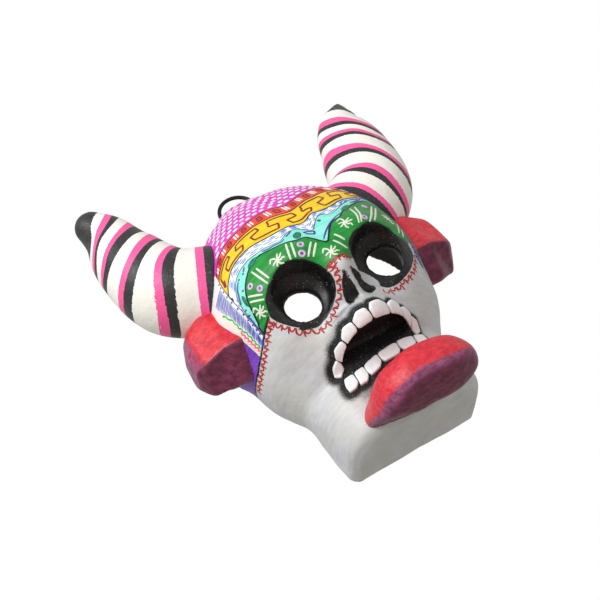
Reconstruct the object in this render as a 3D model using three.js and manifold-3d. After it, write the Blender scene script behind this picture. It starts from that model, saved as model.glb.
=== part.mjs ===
// Horned skull wall mask: a hollow fired-clay face with luted horns, ears, teeth and tongue.
// It hangs by a loop of wire.
// Millimetres. +X is the viewer's right, +Y goes into the wall, +Z is up.
// The origin is the nail point: on the wall plane, at the inside top of the wire loop.
import * as THREE from 'three';
import { mergeVertices } from 'three/addons/utils/BufferGeometryUtils.js';
import Module from 'manifold-3d';

const wasm = await Module();
wasm.setup();

// Fits and walls
const CLEARANCE = 0.3;
const WALL = 5.5;
const SIDE_WALL = 3.5;
const CROWN_WALL = 7;
const CHIN_WALL = 8;
const HOLLOW_SWELL = 0.3;

// Heights of the face, measured up from the underside of the chin
const CROWN_HEIGHT = 165.5;
const FOREHEAD_HEIGHT = 115;
const TEMPLE_HEIGHT = 92;
const BROW_HEIGHT = 78;
const EYE_HEIGHT = 66;
const CHEEK_HEIGHT = 56;
const NOSE_HEIGHT = 49;
const LIP_HEIGHT = 42;
const MOUTH_CORNER_HEIGHT = 35;
const JAW_HEIGHT = 25;
const CHIN_HEIGHT = 10;
const CHIN_EDGE_HEIGHT = 3;

// How far the nail stands above the crown, and how far the dome's sections lie below it
const NAIL_STAND = 5.5;
const CAP_DROP = 5;
const DOME_DROP = 14.5;
const HAIRLINE_DROP = 26.5;

// Half widths of the head at those heights
const CROWN_HALF = 8;
const CAP_HALF = 17;
const DOME_HALF = 25;
const HAIRLINE_HALF = 36.5;
const FOREHEAD_HALF = 48;
const TEMPLE_HALF = 57;
const BROW_HALF = 55.5;
const EYE_HALF = 54;
const CHEEK_HALF = 53;
const NOSE_HALF = 50.5;
const LIP_HALF = 46;
const MOUTH_HALF = 41;
const JAW_HALF = 38.5;
const CHIN_HALF = 37;
const CHIN_EDGE_HALF = 35.5;
const CHIN_BASE_HALF = 32;

// Depths of the head in front of the wall at those heights, on the midline
const CROWN_DEPTH = 7;
const CAP_DEPTH = 19;
const DOME_DEPTH = 30;
const HAIRLINE_DEPTH = 44;
const FOREHEAD_DEPTH = 60;
const TEMPLE_DEPTH = 68;
const BROW_DEPTH = 70;
const EYE_DEPTH = 63;
const CHEEK_DEPTH = 55;
const NOSE_DEPTH = 51;
const LIP_DEPTH = 47;
const MOUTH_DEPTH = 38.5;
const JAW_DEPTH = 38.5;
const CHIN_DEPTH = 40;
const CHIN_EDGE_DEPTH = 38.5;
const CHIN_BASE_DEPTH = 35;

// How far the sides draw in from their widest line to the rim at the wall
const RIM_TUCK = 7;
const RIM_TUCK_DEPTH = 26;

// Swellings of the face: height, how far each stands out, its reach sideways, up and down, and its steepness
const BROW_BUMP = { height: 84, out: 4, half: 19, reachX: 14, reachUp: 9, reachDown: 9, power: 2 };
const NOSE_BUMP = { height: 64, out: 10, half: 0, reachX: 7, reachUp: 10, reachDown: 10, power: 2 };
const LIP_BUMP = { height: 43, out: 13, half: 0, reachX: 18, reachUp: 9, reachDown: 5, power: 4 };
const CHEEK_BUMP = { height: 56, out: 3, half: 37, reachX: 13, reachUp: 6, reachDown: 8, power: 2 };

// Eye sockets: a tilted round rim, then a level throat that opens into the hollow
const SOCKET_HALF_GAP = 22;
const SOCKET_RIM_HEIGHT = 67;
const SOCKET_RIM_DEPTH = 60;
const SOCKET_TILT = 38;
const SOCKET_RIM_RADIUS = 16.5;
const SOCKET_THROAT_RADIUS = 14;
const SOCKET_HOLE_RADIUS = 8.6;
const SOCKET_THROAT_DEEP = 4;
const SOCKET_HOLE_DEEP = 7;
const SOCKET_WALL = 3.5;

// Nostrils: a pair of teardrop hollows either side of a thin ridge
const NOSTRIL_TOP_HALF_GAP = 1.8;
const NOSTRIL_TOP_HEIGHT = 64;
const NOSTRIL_TOP_RADIUS = 0.9;
const NOSTRIL_HALF_GAP = 5.2;
const NOSTRIL_HEIGHT = 52;
const NOSTRIL_RADIUS = 3.9;
const NOSTRIL_DEEP = 3;

// Mouth: a pocket pushed up into the underside of the lip, cut square to a sloping plane
const MOUTH_HALF_WIDTH = 19;
const MOUTH_BACK_DEPTH = 38.5;
const MOUTH_BACK_HEIGHT = 35.5;
const MOUTH_REACH = 20.5;
const MOUTH_SLOPE = 13;
const MOUTH_DEEP = 10;
const MOUTH_ROUNDING = 0.52;

// Teeth: tiles that stand proud of the face along both edges of the mouth.
// A row has the height of its ends, its arch and squareness, and how its teeth close up sideways.
const TOOTH_PROUD = 2.2;
const TOOTH_GAP = 0.9;
const TOOTH_SIDE_SHARE = 0.55;
const TOOTH_CORNER_SHARE = 0.98;
const UPPER_HALF = MOUTH_HALF_WIDTH;
const UPPER_ROW = { count: 8, half: UPPER_HALF, ends: 33.8, arch: 6.2, square: 4.5, closing: 1.8, length: 6 };
const LOWER_ROW = { count: 6, half: 22, ends: 31.6, arch: 4.9, square: 2.1, closing: 1.3, length: -6.6 };

// Horns: the root lies inside the head, the elbow turns up, the tip leans out
const HORN_DEPTH = 23;
const HORN_TIP_DEPTH = 28;
const HORN_ROOT_OUT = 36;
const HORN_ROOT_HEIGHT = 114;
const HORN_ELBOW_OUT = 59;
const HORN_ELBOW_HEIGHT = 128;
const HORN_SPREAD = 69;
const HORN_RISE_HEIGHT = 154;
const HORN_NECK_HEIGHT = 172;
const HORN_TIP_OUT = 78;
const HORN_TIP_HEIGHT = 187;
const HORN_NECK_LEAN = 2;
const HORN_RADIUS = 22.3;
const HORN_TIP_RADIUS = 7;
const HORN_TAPER_START = 0.25;
const HORN_TAPER_POWER = 1.5;
const HORN_ROUND_START = 0.93;
const HORN_ROUNDING = 0.85;

// Ears: faceted wedges, given by stations outwards. Each corner is a depth from the wall and a height.
const EAR_STATIONS = [
  { out: 42, topBack: [9, 110], topFront: [34, 93], ridge: [41, 74], lowFront: [26, 62], lowBack: [5, 72] },
  { out: 58, topBack: [11, 113], topFront: [30, 101], ridge: [36, 76], lowFront: [22, 63], lowBack: [5, 72] },
  { out: 69, topBack: [15, 104], topFront: [27, 98], ridge: [28, 77], lowFront: [11, 71], lowBack: [5, 77] },
  { out: 73, topBack: [14, 92], topFront: [19, 90], ridge: [20, 81], lowFront: [13, 78], lowBack: [9, 82] },
];

// Tongue: a thick lobe that stands out from the chin below the lower teeth
const TONGUE_HALF = 26.5;
const TONGUE_MIDDLE_HEIGHT = 1;
const TONGUE_ROOT_LIFT = 5;
const TONGUE_RISE = 17;
const TONGUE_FALL = 6;
const TONGUE_FRONT = 74;
const TONGUE_ROOT_DEPTH = 30;
const TONGUE_FRONT_POWER = 4.3;
const TONGUE_EDGE_POWER = 2.6;
const TONGUE_FALL_START = 0.15;
const TONGUE_FALL_END = 0.6;
const TONGUE_FULLNESS = 0.85;

// Hanging loop of wire
const WIRE_RADIUS = 1.05;
const LOOP_RADIUS = 10;
const LOOP_DEPTH = 11;
const LOOP_LEG = 8;

// How finely each form is divided
const ROWS_BELOW_MOUTH = 8;
const ROWS_AT_MOUTH = 12;
const ROWS_ABOVE_MOUTH = 26;
const HEAD_COLUMNS = 34;
const HORN_RINGS = 20;
const HORN_SIDES = 20;
const SOCKET_SIDES = 26;
const NOSTRIL_SIDES = 12;
const TONGUE_RINGS = 9;
const TONGUE_SIDES = 28;
const WIRE_BENDS = 16;
const WIRE_SIDES = 8;
const WIRE_HOLE_SIDES = 10;
const SMALLEST_SHARE = 0.004;

const chinZ = -(CROWN_HEIGHT + NAIL_STAND);
const loopCentreZ = WIRE_RADIUS - LOOP_RADIUS;
const up = (height) => chinZ + height;
const radians = THREE.MathUtils.degToRad;

// The head's level sections, from the underside of the chin to the crown
const sections = [
  { z: up(0), half: CHIN_BASE_HALF, depth: CHIN_BASE_DEPTH, square: 4.5, tuck: 0.1 },
  { z: up(CHIN_EDGE_HEIGHT), half: CHIN_EDGE_HALF, depth: CHIN_EDGE_DEPTH, square: 4.5, tuck: 0.15 },
  { z: up(CHIN_HEIGHT), half: CHIN_HALF, depth: CHIN_DEPTH, square: 4.2, tuck: 0.2 },
  { z: up(JAW_HEIGHT), half: JAW_HALF, depth: JAW_DEPTH, square: 3.8, tuck: 0.4 },
  { z: up(MOUTH_CORNER_HEIGHT), half: MOUTH_HALF, depth: MOUTH_DEPTH, square: 2.6, tuck: 0.7 },
  { z: up(LIP_HEIGHT), half: LIP_HALF, depth: LIP_DEPTH, square: 2.1, tuck: 0.9 },
  { z: up(NOSE_HEIGHT), half: NOSE_HALF, depth: NOSE_DEPTH, square: 2.1, tuck: 1 },
  { z: up(CHEEK_HEIGHT), half: CHEEK_HALF, depth: CHEEK_DEPTH, square: 2.2, tuck: 1 },
  { z: up(EYE_HEIGHT), half: EYE_HALF, depth: EYE_DEPTH, square: 2.35, tuck: 0.8 },
  { z: up(BROW_HEIGHT), half: BROW_HALF, depth: BROW_DEPTH, square: 2.4, tuck: 0.2 },
  { z: up(TEMPLE_HEIGHT), half: TEMPLE_HALF, depth: TEMPLE_DEPTH, square: 2.4, tuck: 0 },
  { z: up(FOREHEAD_HEIGHT), half: FOREHEAD_HALF, depth: FOREHEAD_DEPTH, square: 2.9, tuck: 0.3 },
  { z: up(CROWN_HEIGHT - HAIRLINE_DROP), half: HAIRLINE_HALF, depth: HAIRLINE_DEPTH, square: 2.7, tuck: 1.5 },
  { z: up(CROWN_HEIGHT - DOME_DROP), half: DOME_HALF, depth: DOME_DEPTH, square: 2.4, tuck: 1.2 },
  { z: up(CROWN_HEIGHT - CAP_DROP), half: CAP_HALF, depth: CAP_DEPTH, square: 2.3, tuck: 0.7 },
  { z: up(CROWN_HEIGHT), half: CROWN_HALF, depth: CROWN_DEPTH, square: 2.2, tuck: 0.3 },
];

// A smooth value of the sections at any height
function sectionValue(key, z) {
  const last = sections.length - 1;
  let i = 0;
  while (i < last - 1 && z > sections[i + 1].z) i += 1;
  const a = sections[i];
  const b = sections[i + 1];
  const before = sections[Math.max(i - 1, 0)];
  const after = sections[Math.min(i + 2, last)];
  const span = b.z - a.z;
  const t = THREE.MathUtils.clamp((z - a.z) / span, 0, 1);
  const slopeA = (span * (b[key] - before[key])) / (b.z - before.z);
  const slopeB = (span * (after[key] - a[key])) / (after.z - a.z);
  const t2 = t * t;
  const t3 = t2 * t;
  const ends = a[key] * (2 * t3 - 3 * t2 + 1) + b[key] * (3 * t2 - 2 * t3);
  return ends + slopeA * (t3 - 2 * t2 + t) + slopeB * (t3 - t2);
}

// A rounded swelling on the face, mirrored left and right
function swelling(bump, x, z) {
  const across = (Math.abs(x) - bump.half) / bump.reachX;
  const rise = z - up(bump.height);
  const along = Math.abs(rise) / (rise > 0 ? bump.reachUp : bump.reachDown);
  return bump.out * Math.exp(-across * across - along ** bump.power);
}

// A point of the head at a turn of -90 to 90 degrees about the upright axis, drawn in at the front and side
function headPoint(turn, z, { front, side, swell }) {
  const fullHalf = sectionValue('half', z);
  const fullDepth = sectionValue('depth', z);
  const half = Math.max(fullHalf - side, fullHalf / 3);
  const depth = Math.max(fullDepth - front, fullDepth / 3);
  const square = sectionValue('square', z);
  const s = Math.sin(turn);
  const c = Math.max(Math.cos(turn), 0);
  const radius = (Math.abs(s / half) ** square + (c / depth) ** square) ** (-1 / square);
  const nearRim = Math.max(0, 1 - (radius * c) / RIM_TUCK_DEPTH);
  const tuck = RIM_TUCK * sectionValue('tuck', z) * nearRim * nearRim;
  const x = radius * s - tuck * Math.sign(s);
  const bumps = [BROW_BUMP, NOSE_BUMP, LIP_BUMP, CHEEK_BUMP];
  const swollen = bumps.reduce((sum, bump) => sum + swelling(bump, x, z), 0);
  return new THREE.Vector3(x, -radius * c - swell * swollen * Math.min(1, 2 * c), z);
}

// A closed body through rings of points with a fan over each end
function loft(rings) {
  const count = rings[0].length;
  const points = rings.flat();
  const triangles = [];
  for (let r = 0; r < rings.length - 1; r += 1) {
    for (let k = 0; k < count; k += 1) {
      const a = r * count + k;
      const b = r * count + ((k + 1) % count);
      triangles.push([a, b, b + count], [a, b + count, a + count]);
    }
  }
  for (const [ring, flip] of [[0, true], [rings.length - 1, false]]) {
    const centre = rings[ring].reduce((sum, p) => sum.add(p), new THREE.Vector3()).divideScalar(count);
    points.push(centre);
    for (let k = 0; k < count; k += 1) {
      const a = ring * count + k;
      const b = ring * count + ((k + 1) % count);
      triangles.push(flip ? [points.length - 1, b, a] : [points.length - 1, a, b]);
    }
  }
  const geometry = new THREE.BufferGeometry().setFromPoints(points);
  geometry.setIndex(triangles.flat());
  return geometry;
}

// Signed volume, to tell a body from its inside-out twin
function volumeOf(geometry) {
  const at = geometry.attributes.position;
  const index = geometry.index.array;
  const [a, b, c] = [new THREE.Vector3(), new THREE.Vector3(), new THREE.Vector3()];
  let volume = 0;
  for (let i = 0; i < index.length; i += 3) {
    a.fromBufferAttribute(at, index[i]);
    b.fromBufferAttribute(at, index[i + 1]);
    c.fromBufferAttribute(at, index[i + 2]);
    volume += a.dot(b.cross(c)) / 6;
  }
  return volume;
}

// A three.js geometry as a solid that can be joined and cut
function solid(geometry) {
  const bare = geometry.clone();
  bare.deleteAttribute('normal');
  bare.deleteAttribute('uv');
  const merged = mergeVertices(bare, 1e-4);
  const triangles = Uint32Array.from(merged.index.array);
  if (volumeOf(merged) < 0) {
    for (let i = 0; i < triangles.length; i += 3) {
      [triangles[i], triangles[i + 1]] = [triangles[i + 1], triangles[i]];
    }
  }
  const vertices = Float32Array.from(merged.attributes.position.array);
  return new wasm.Manifold(new wasm.Mesh({ numProp: 3, vertProperties: vertices, triVerts: triangles }));
}

function geometryOf(manifold) {
  const mesh = manifold.getMesh();
  const geometry = new THREE.BufferGeometry();
  geometry.setAttribute('position', new THREE.BufferAttribute(Float32Array.from(mesh.vertProperties), 3));
  geometry.setIndex(new THREE.BufferAttribute(Uint32Array.from(mesh.triVerts), 1));
  return geometry;
}

function mirrored(geometry) {
  const copy = geometry.clone();
  copy.applyMatrix4(new THREE.Matrix4().makeScale(-1, 1, 1));
  return copy;
}

// Heights of the rows that divide the head, closest about the mouth
function rowHeights() {
  const low = LOWER_ROW.ends + LOWER_ROW.length / 2;
  const high = NOSE_HEIGHT;
  const rows = [0];
  for (const [from, to, count] of [
    [0, low, ROWS_BELOW_MOUTH], [low, high, ROWS_AT_MOUTH], [high, CROWN_HEIGHT, ROWS_ABOVE_MOUTH],
  ]) {
    for (let k = 1; k <= count; k += 1) rows.push(THREE.MathUtils.lerp(from, to, k / count));
  }
  return rows;
}

// The head's own outside
const FULL = { front: 0, side: 0, swell: 1 };

// The head as a solid block with a flat back between two levels
function headBlock(size, low, high, back) {
  const rings = [];
  for (const height of rowHeights()) {
    const level = up(height);
    const share = height / CROWN_HEIGHT;
    const ring = [];
    for (let k = 0; k <= HEAD_COLUMNS; k += 1) {
      const turn = radians(THREE.MathUtils.lerp(-90, 90, k / HEAD_COLUMNS));
      ring.push(headPoint(turn, level, size).setZ(THREE.MathUtils.lerp(low, high, share)));
    }
    if (back > 0) {
      const rim = ring[HEAD_COLUMNS].x;
      ring.push(new THREE.Vector3(rim, back, ring[0].z), new THREE.Vector3(-rim, back, ring[0].z));
    }
    rings.push(ring);
  }
  return solid(loft(rings));
}

// The head's outside moved outwards by a distance, to cut or trim what sits on it
function headGrown(distance) {
  const size = { front: -distance, side: -distance, swell: 1 };
  return headBlock(size, up(0) - distance, up(CROWN_HEIGHT) + distance, distance);
}

// A ring of points round a centre, square to an axis, with its start towards a side direction
function circle(centre, axis, side, radius, sides) {
  const other = new THREE.Vector3().crossVectors(axis, side).normalize();
  return Array.from({ length: sides }, (unused, k) => {
    const angle = (2 * Math.PI * k) / sides;
    return centre.clone()
      .addScaledVector(side, radius * Math.cos(angle))
      .addScaledVector(other, radius * Math.sin(angle));
  });
}

// The funnel of one eye socket, made fatter by a margin
function socket(margin, reach) {
  const side = new THREE.Vector3(1, 0, 0);
  const tilt = radians(SOCKET_TILT);
  const tilted = new THREE.Vector3(0, Math.cos(tilt), Math.sin(tilt));
  const level = new THREE.Vector3(0, 1, 0);
  const between = tilted.clone().add(level).normalize();
  const rim = new THREE.Vector3(SOCKET_HALF_GAP, -SOCKET_RIM_DEPTH, up(SOCKET_RIM_HEIGHT));
  const front = rim.clone().addScaledVector(tilted, -reach);
  const throat = rim.clone().addScaledVector(level, SOCKET_THROAT_DEEP);
  const hole = rim.clone().addScaledVector(level, SOCKET_HOLE_DEEP + margin);
  const stations = [
    [front, tilted, SOCKET_RIM_RADIUS],
    [rim, tilted, SOCKET_RIM_RADIUS],
    [throat, between, SOCKET_THROAT_RADIUS],
    [hole, level, SOCKET_HOLE_RADIUS],
  ];
  if (margin === 0) {
    stations.push([hole.clone().addScaledVector(level, SOCKET_HOLE_DEEP), level, SOCKET_HOLE_RADIUS]);
  }
  return loft(stations.map(([c, axis, r]) => circle(c, axis, side, r + margin, SOCKET_SIDES)));
}

// One nostril: a cone laid down the slope of the nose
function nostril() {
  const side = new THREE.Vector3(1, 0, 0);
  const topY = headPoint(0, up(NOSTRIL_TOP_HEIGHT), FULL).y;
  const lowY = headPoint(radians(NOSTRIL_HALF_GAP), up(NOSTRIL_HEIGHT), FULL).y;
  const top = new THREE.Vector3(NOSTRIL_TOP_HALF_GAP, topY, up(NOSTRIL_TOP_HEIGHT));
  const low = new THREE.Vector3(NOSTRIL_HALF_GAP, lowY, up(NOSTRIL_HEIGHT));
  const axis = low.clone().sub(top).normalize();
  const end = low.clone().addScaledVector(axis, NOSTRIL_DEEP);
  return loft([
    circle(top, axis, side, NOSTRIL_TOP_RADIUS, NOSTRIL_SIDES),
    circle(low, axis, side, NOSTRIL_RADIUS, NOSTRIL_SIDES),
    circle(end, axis, side, NOSTRIL_RADIUS / 2, NOSTRIL_SIDES),
  ]);
}

// A flat outline drawn across x and z, turned into a prism that runs from one depth to another
function prism(shape, nearDepth, farDepth) {
  const geometry = new THREE.ExtrudeGeometry(shape, {
    depth: farDepth - nearDepth, bevelEnabled: false, curveSegments: 10,
  });
  geometry.rotateX(radians(90));
  geometry.translate(0, -nearDepth, 0);
  return solid(geometry);
}

// The mouth pocket, made larger by a margin
function mouthPocket(margin) {
  const half = MOUTH_HALF_WIDTH + margin;
  const reach = MOUTH_REACH + margin;
  const shoulder = reach * MOUTH_ROUNDING;
  const brow = half * MOUTH_ROUNDING;
  const shape = new THREE.Shape();
  shape.moveTo(-half, -margin);
  shape.lineTo(half, -margin);
  shape.bezierCurveTo(half, shoulder, brow, reach, 0, reach);
  shape.bezierCurveTo(-brow, reach, -half, shoulder, -half, -margin);
  const geometry = new THREE.ExtrudeGeometry(shape, {
    depth: MOUTH_DEEP + margin + MOUTH_REACH, bevelEnabled: false, curveSegments: 8,
  });
  geometry.translate(0, 0, -MOUTH_REACH);
  geometry.scale(1, -1, 1);
  geometry.rotateX(radians(-MOUTH_SLOPE));
  geometry.translate(0, -MOUTH_BACK_DEPTH, up(MOUTH_BACK_HEIGHT));
  return solid(geometry);
}

// The outline of one tooth: straight at the mouth and rounded away from it
function toothOutline(row, index) {
  const edgeAt = (k) => {
    const share = (2 * k) / row.count - 1;
    const across = Math.sign(share) * (1 - (1 - Math.abs(share)) ** row.closing);
    const rise = row.arch * (1 - Math.abs(across) ** row.square);
    return new THREE.Vector2(row.half * across, up(row.ends + rise));
  };
  const start = edgeAt(index);
  const end = edgeAt(index + 1);
  const along = end.clone().sub(start);
  const width = along.length() - TOOTH_GAP;
  along.normalize();
  const out = new THREE.Vector2(-along.y, along.x).multiplyScalar(row.length);
  const centre = start.add(end).multiplyScalar(0.5);
  const point = (a, b) => centre.clone().addScaledVector(along, a * width).addScaledVector(out, b);
  const shape = new THREE.Shape([point(-0.5, 0), point(0.5, 0), point(0.5, TOOTH_SIDE_SHARE)]);
  const top = point(0, 1);
  const right = point(0.5, TOOTH_CORNER_SHARE);
  const left = point(-0.5, TOOTH_CORNER_SHARE);
  const low = point(-0.5, TOOTH_SIDE_SHARE);
  shape.quadraticCurveTo(right.x, right.y, top.x, top.y);
  shape.quadraticCurveTo(left.x, left.y, low.x, low.y);
  return shape;
}

// The shell: a block with a hollow back, sockets, nostrils, mouth and two holes for the wire
function headShell() {
  const collar = socket(SOCKET_WALL, 0);
  const inside = { front: WALL, side: SIDE_WALL, swell: HOLLOW_SWELL };
  const hollow = headBlock(inside, up(CHIN_WALL), up(CROWN_HEIGHT - CROWN_WALL), WALL)
    .subtract(mouthPocket(WALL)).subtract(solid(collar)).subtract(solid(mirrored(collar)));
  let shell = headBlock(FULL, up(0), up(CROWN_HEIGHT), 0).subtract(hollow);
  for (const cutter of [socket(0, 2 * SOCKET_RIM_RADIUS), nostril()]) {
    shell = shell.subtract(solid(cutter)).subtract(solid(mirrored(cutter)));
  }
  shell = shell.subtract(mouthPocket(0));
  for (const x of [-LOOP_RADIUS, LOOP_RADIUS]) {
    const radius = WIRE_RADIUS + CLEARANCE;
    const hole = new THREE.CylinderGeometry(radius, radius, 2 * LOOP_LEG, WIRE_HOLE_SIDES);
    hole.rotateX(radians(90));
    hole.translate(x, -LOOP_DEPTH, loopCentreZ - CLEARANCE);
    shell = shell.subtract(solid(hole));
  }
  return shell;
}

// The wire: half a circle above two straight legs that drop into the crown
function hangingLoop() {
  const foot = (x) => new THREE.Vector3(x, -LOOP_DEPTH, loopCentreZ - LOOP_LEG);
  const points = [foot(-LOOP_RADIUS)];
  for (let k = 0; k <= WIRE_BENDS; k += 1) {
    const angle = Math.PI * (1 - k / WIRE_BENDS);
    const height = loopCentreZ + LOOP_RADIUS * Math.sin(angle);
    points.push(new THREE.Vector3(LOOP_RADIUS * Math.cos(angle), -LOOP_DEPTH, height));
  }
  points.push(foot(LOOP_RADIUS));
  const side = new THREE.Vector3(0, 1, 0);
  return solid(loft(points.map((point, k) => {
    const before = points[Math.max(k - 1, 0)];
    const after = points[Math.min(k + 1, points.length - 1)];
    return circle(point, after.clone().sub(before).normalize(), side, WIRE_RADIUS, WIRE_SIDES);
  })));
}

// One horn along its bent centre line, tapered from the elbow and rounded at the tip
function hornBody(margin) {
  const stations = [
    [HORN_ROOT_OUT, HORN_DEPTH, HORN_ROOT_HEIGHT],
    [HORN_ELBOW_OUT, HORN_DEPTH, HORN_ELBOW_HEIGHT],
    [HORN_SPREAD, HORN_DEPTH, HORN_RISE_HEIGHT],
    [HORN_SPREAD + HORN_NECK_LEAN, HORN_DEPTH + HORN_NECK_LEAN, HORN_NECK_HEIGHT],
    [HORN_TIP_OUT, HORN_TIP_DEPTH, HORN_TIP_HEIGHT],
  ];
  const line = new THREE.CatmullRomCurve3(
    stations.map(([x, depth, height]) => new THREE.Vector3(x, -depth, up(height))), false, 'centripetal',
  );
  const rings = [];
  for (let k = 0; k <= HORN_RINGS; k += 1) {
    const t = Math.sin((Math.PI / 2) * (k / HORN_RINGS));
    const taper = Math.max(0, (t - HORN_TAPER_START) / (1 - HORN_TAPER_START)) ** HORN_TAPER_POWER;
    const end = Math.max(0, (t - HORN_ROUND_START) / (1 - HORN_ROUND_START));
    const rounding = Math.sqrt(1 - HORN_ROUNDING * end * end);
    const radius = THREE.MathUtils.lerp(HORN_RADIUS, HORN_TIP_RADIUS, taper) * rounding;
    const axis = line.getTangent(t);
    const side = new THREE.Vector3(0, 1, 0).addScaledVector(axis, -axis.y).normalize();
    rings.push(circle(line.getPoint(t), axis, side, radius + margin, HORN_SIDES));
  }
  return loft(rings);
}

// One ear through its stations
function earBody() {
  return loft(EAR_STATIONS.map(({ out, ...corners }) => (
    Object.values(corners).map(([depth, height]) => new THREE.Vector3(out, -depth, up(height)))
  )));
}

// The tongue as upright sections from its root inside the chin to its rounded front
function tongueBody() {
  const rings = [];
  for (let r = 0; r <= TONGUE_RINGS; r += 1) {
    const share = Math.sin((Math.PI / 2) * (r / TONGUE_RINGS));
    const size = Math.max(1 - share ** TONGUE_FRONT_POWER, SMALLEST_SHARE) ** (1 / TONGUE_EDGE_POWER);
    const drop = THREE.MathUtils.smoothstep(share, TONGUE_FALL_START, TONGUE_FALL_END);
    const lift = TONGUE_ROOT_LIFT * (1 - drop);
    const fall = THREE.MathUtils.lerp(TONGUE_ROOT_LIFT, TONGUE_FALL, drop);
    const y = -THREE.MathUtils.lerp(TONGUE_ROOT_DEPTH, TONGUE_FRONT, share);
    const ring = [];
    for (let k = 0; k < TONGUE_SIDES; k += 1) {
      const angle = (2 * Math.PI * k) / TONGUE_SIDES;
      const across = Math.sign(Math.cos(angle)) * Math.abs(Math.cos(angle)) ** TONGUE_FULLNESS;
      const rise = Math.sign(Math.sin(angle)) * Math.abs(Math.sin(angle)) ** TONGUE_FULLNESS;
      const z = up(TONGUE_MIDDLE_HEIGHT + lift) + (rise > 0 ? TONGUE_RISE - lift : fall) * size * rise;
      ring.push(new THREE.Vector3(TONGUE_HALF * size * across, y, z));
    }
    rings.push(ring);
  }
  return loft(rings);
}

// Colours and finishes
function finish(color, roughness, metalness = 0) {
  return new THREE.MeshStandardMaterial({ color, roughness, metalness });
}
const paintedSkull = () => finish('#d0d2d4', 0.6);
const paintedHorn = () => finish('#f4efe6', 0.5);
const paintedEar = () => finish('#a8243c', 0.45);
const paintedTongue = () => finish('#b8263e', 0.4);
const paintedTooth = () => finish('#f6f6fa', 0.45);
const blackWire = () => finish('#33332f', 0.5, 0.6);

const mask = new THREE.Group();

function addPiece(name, body, material) {
  const mesh = new THREE.Mesh(geometryOf(body), material);
  mesh.name = name;
  mask.add(mesh);
}

const cutter = headGrown(CLEARANCE);
addPiece('head_shell', headShell(), paintedSkull());

const horn = solid(hornBody(0)).subtract(cutter);
addPiece('horn_right', horn, paintedHorn());
addPiece('horn_left', solid(mirrored(geometryOf(horn))), paintedHorn());

const ear = solid(earBody()).subtract(cutter).subtract(solid(hornBody(CLEARANCE)));
addPiece('ear_right', ear, paintedEar());
addPiece('ear_left', solid(mirrored(geometryOf(ear))), paintedEar());

addPiece('tongue', solid(tongueBody()).subtract(cutter), paintedTongue());

const toothSkin = headGrown(TOOTH_PROUD).subtract(cutter);
const mouthCutter = mouthPocket(0);
for (let k = 0; k < UPPER_ROW.count; k += 1) {
  const tile = prism(toothOutline(UPPER_ROW, k), MOUTH_BACK_DEPTH, 2 * TEMPLE_DEPTH).intersect(toothSkin);
  addPiece(`upper_tooth_${k + 1}`, tile.subtract(mouthCutter), paintedTooth());
}
for (let k = 0; k < LOWER_ROW.count; k += 1) {
  const tile = prism(toothOutline(LOWER_ROW, k), WALL, MOUTH_BACK_DEPTH + TOOTH_PROUD);
  addPiece(`lower_tooth_${k + 1}`, tile.intersect(toothSkin), paintedTooth());
}

addPiece('hanging_loop', hangingLoop(), blackWire());

export default mask;
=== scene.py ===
"""Horned skull wall mask: hollow fired clay, hand painted, hung by a loop of wire.

Metres in the scene, millimetres in the sizes below. +X is the viewer's right, +Y goes into the wall, +Z is up.
The origin is the nail point: on the wall plane, at the inside top of the wire loop.
"""

import math

import bmesh
import bpy
import numpy as np
from mathutils import Matrix, Vector, noise
from mathutils.bvhtree import BVHTree


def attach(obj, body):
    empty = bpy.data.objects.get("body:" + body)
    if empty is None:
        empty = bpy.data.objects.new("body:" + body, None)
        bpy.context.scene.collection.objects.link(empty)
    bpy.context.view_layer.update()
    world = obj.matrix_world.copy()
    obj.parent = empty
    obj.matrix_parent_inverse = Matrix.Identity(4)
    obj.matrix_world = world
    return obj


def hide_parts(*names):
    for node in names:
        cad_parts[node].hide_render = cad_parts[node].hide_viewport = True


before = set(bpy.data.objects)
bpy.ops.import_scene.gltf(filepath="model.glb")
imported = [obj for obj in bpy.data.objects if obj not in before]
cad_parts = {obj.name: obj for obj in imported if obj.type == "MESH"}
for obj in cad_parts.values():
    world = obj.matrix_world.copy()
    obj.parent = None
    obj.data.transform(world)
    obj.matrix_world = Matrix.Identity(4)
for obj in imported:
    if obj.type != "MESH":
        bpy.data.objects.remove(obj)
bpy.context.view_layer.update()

MM = 0.001
RNG = np.random.default_rng(7)

# Sizes of the clay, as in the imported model
CROWN_HEIGHT = 165.5
NAIL_HEIGHT = 171.0
RIM_TUCK = 7.0
RIM_TUCK_DEPTH = 26.0
FLOOR_SHARE = 1 / 3
# height, half width, depth, squareness, tuck at the rim
SECTIONS = np.array([
    (0, 32, 35, 4.5, 0.1), (3, 35.5, 38.5, 4.5, 0.15), (10, 37, 40, 4.2, 0.2), (25, 38.5, 38.5, 3.8, 0.4),
    (35, 41, 38.5, 2.6, 0.7), (42, 46, 47, 2.1, 0.9), (49, 50.5, 51, 2.1, 1), (56, 53, 55, 2.2, 1),
    (66, 54, 63, 2.35, 0.8), (78, 55.5, 70, 2.4, 0.2), (92, 57, 68, 2.4, 0), (115, 48, 60, 2.9, 0.3),
    (139, 36.5, 44, 2.7, 1.5), (151, 25, 30, 2.4, 1.2), (160.5, 17, 19, 2.3, 0.7), (165.5, 8, 7, 2.2, 0.3),
])
# height, out, half, reach sideways, reach up, reach down, steepness
BUMPS = [(84, 4, 19, 14, 9, 9, 2), (64, 10, 0, 7, 10, 10, 2), (43, 13, 0, 18, 9, 5, 4), (56, 3, 37, 13, 6, 8, 2)]
WALL, SIDE_WALL, CROWN_WALL, CHIN_WALL, HOLLOW_SWELL = 5.5, 3.5, 7.0, 8.0, 0.3


def up(height):
    return height - NAIL_HEIGHT


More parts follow.
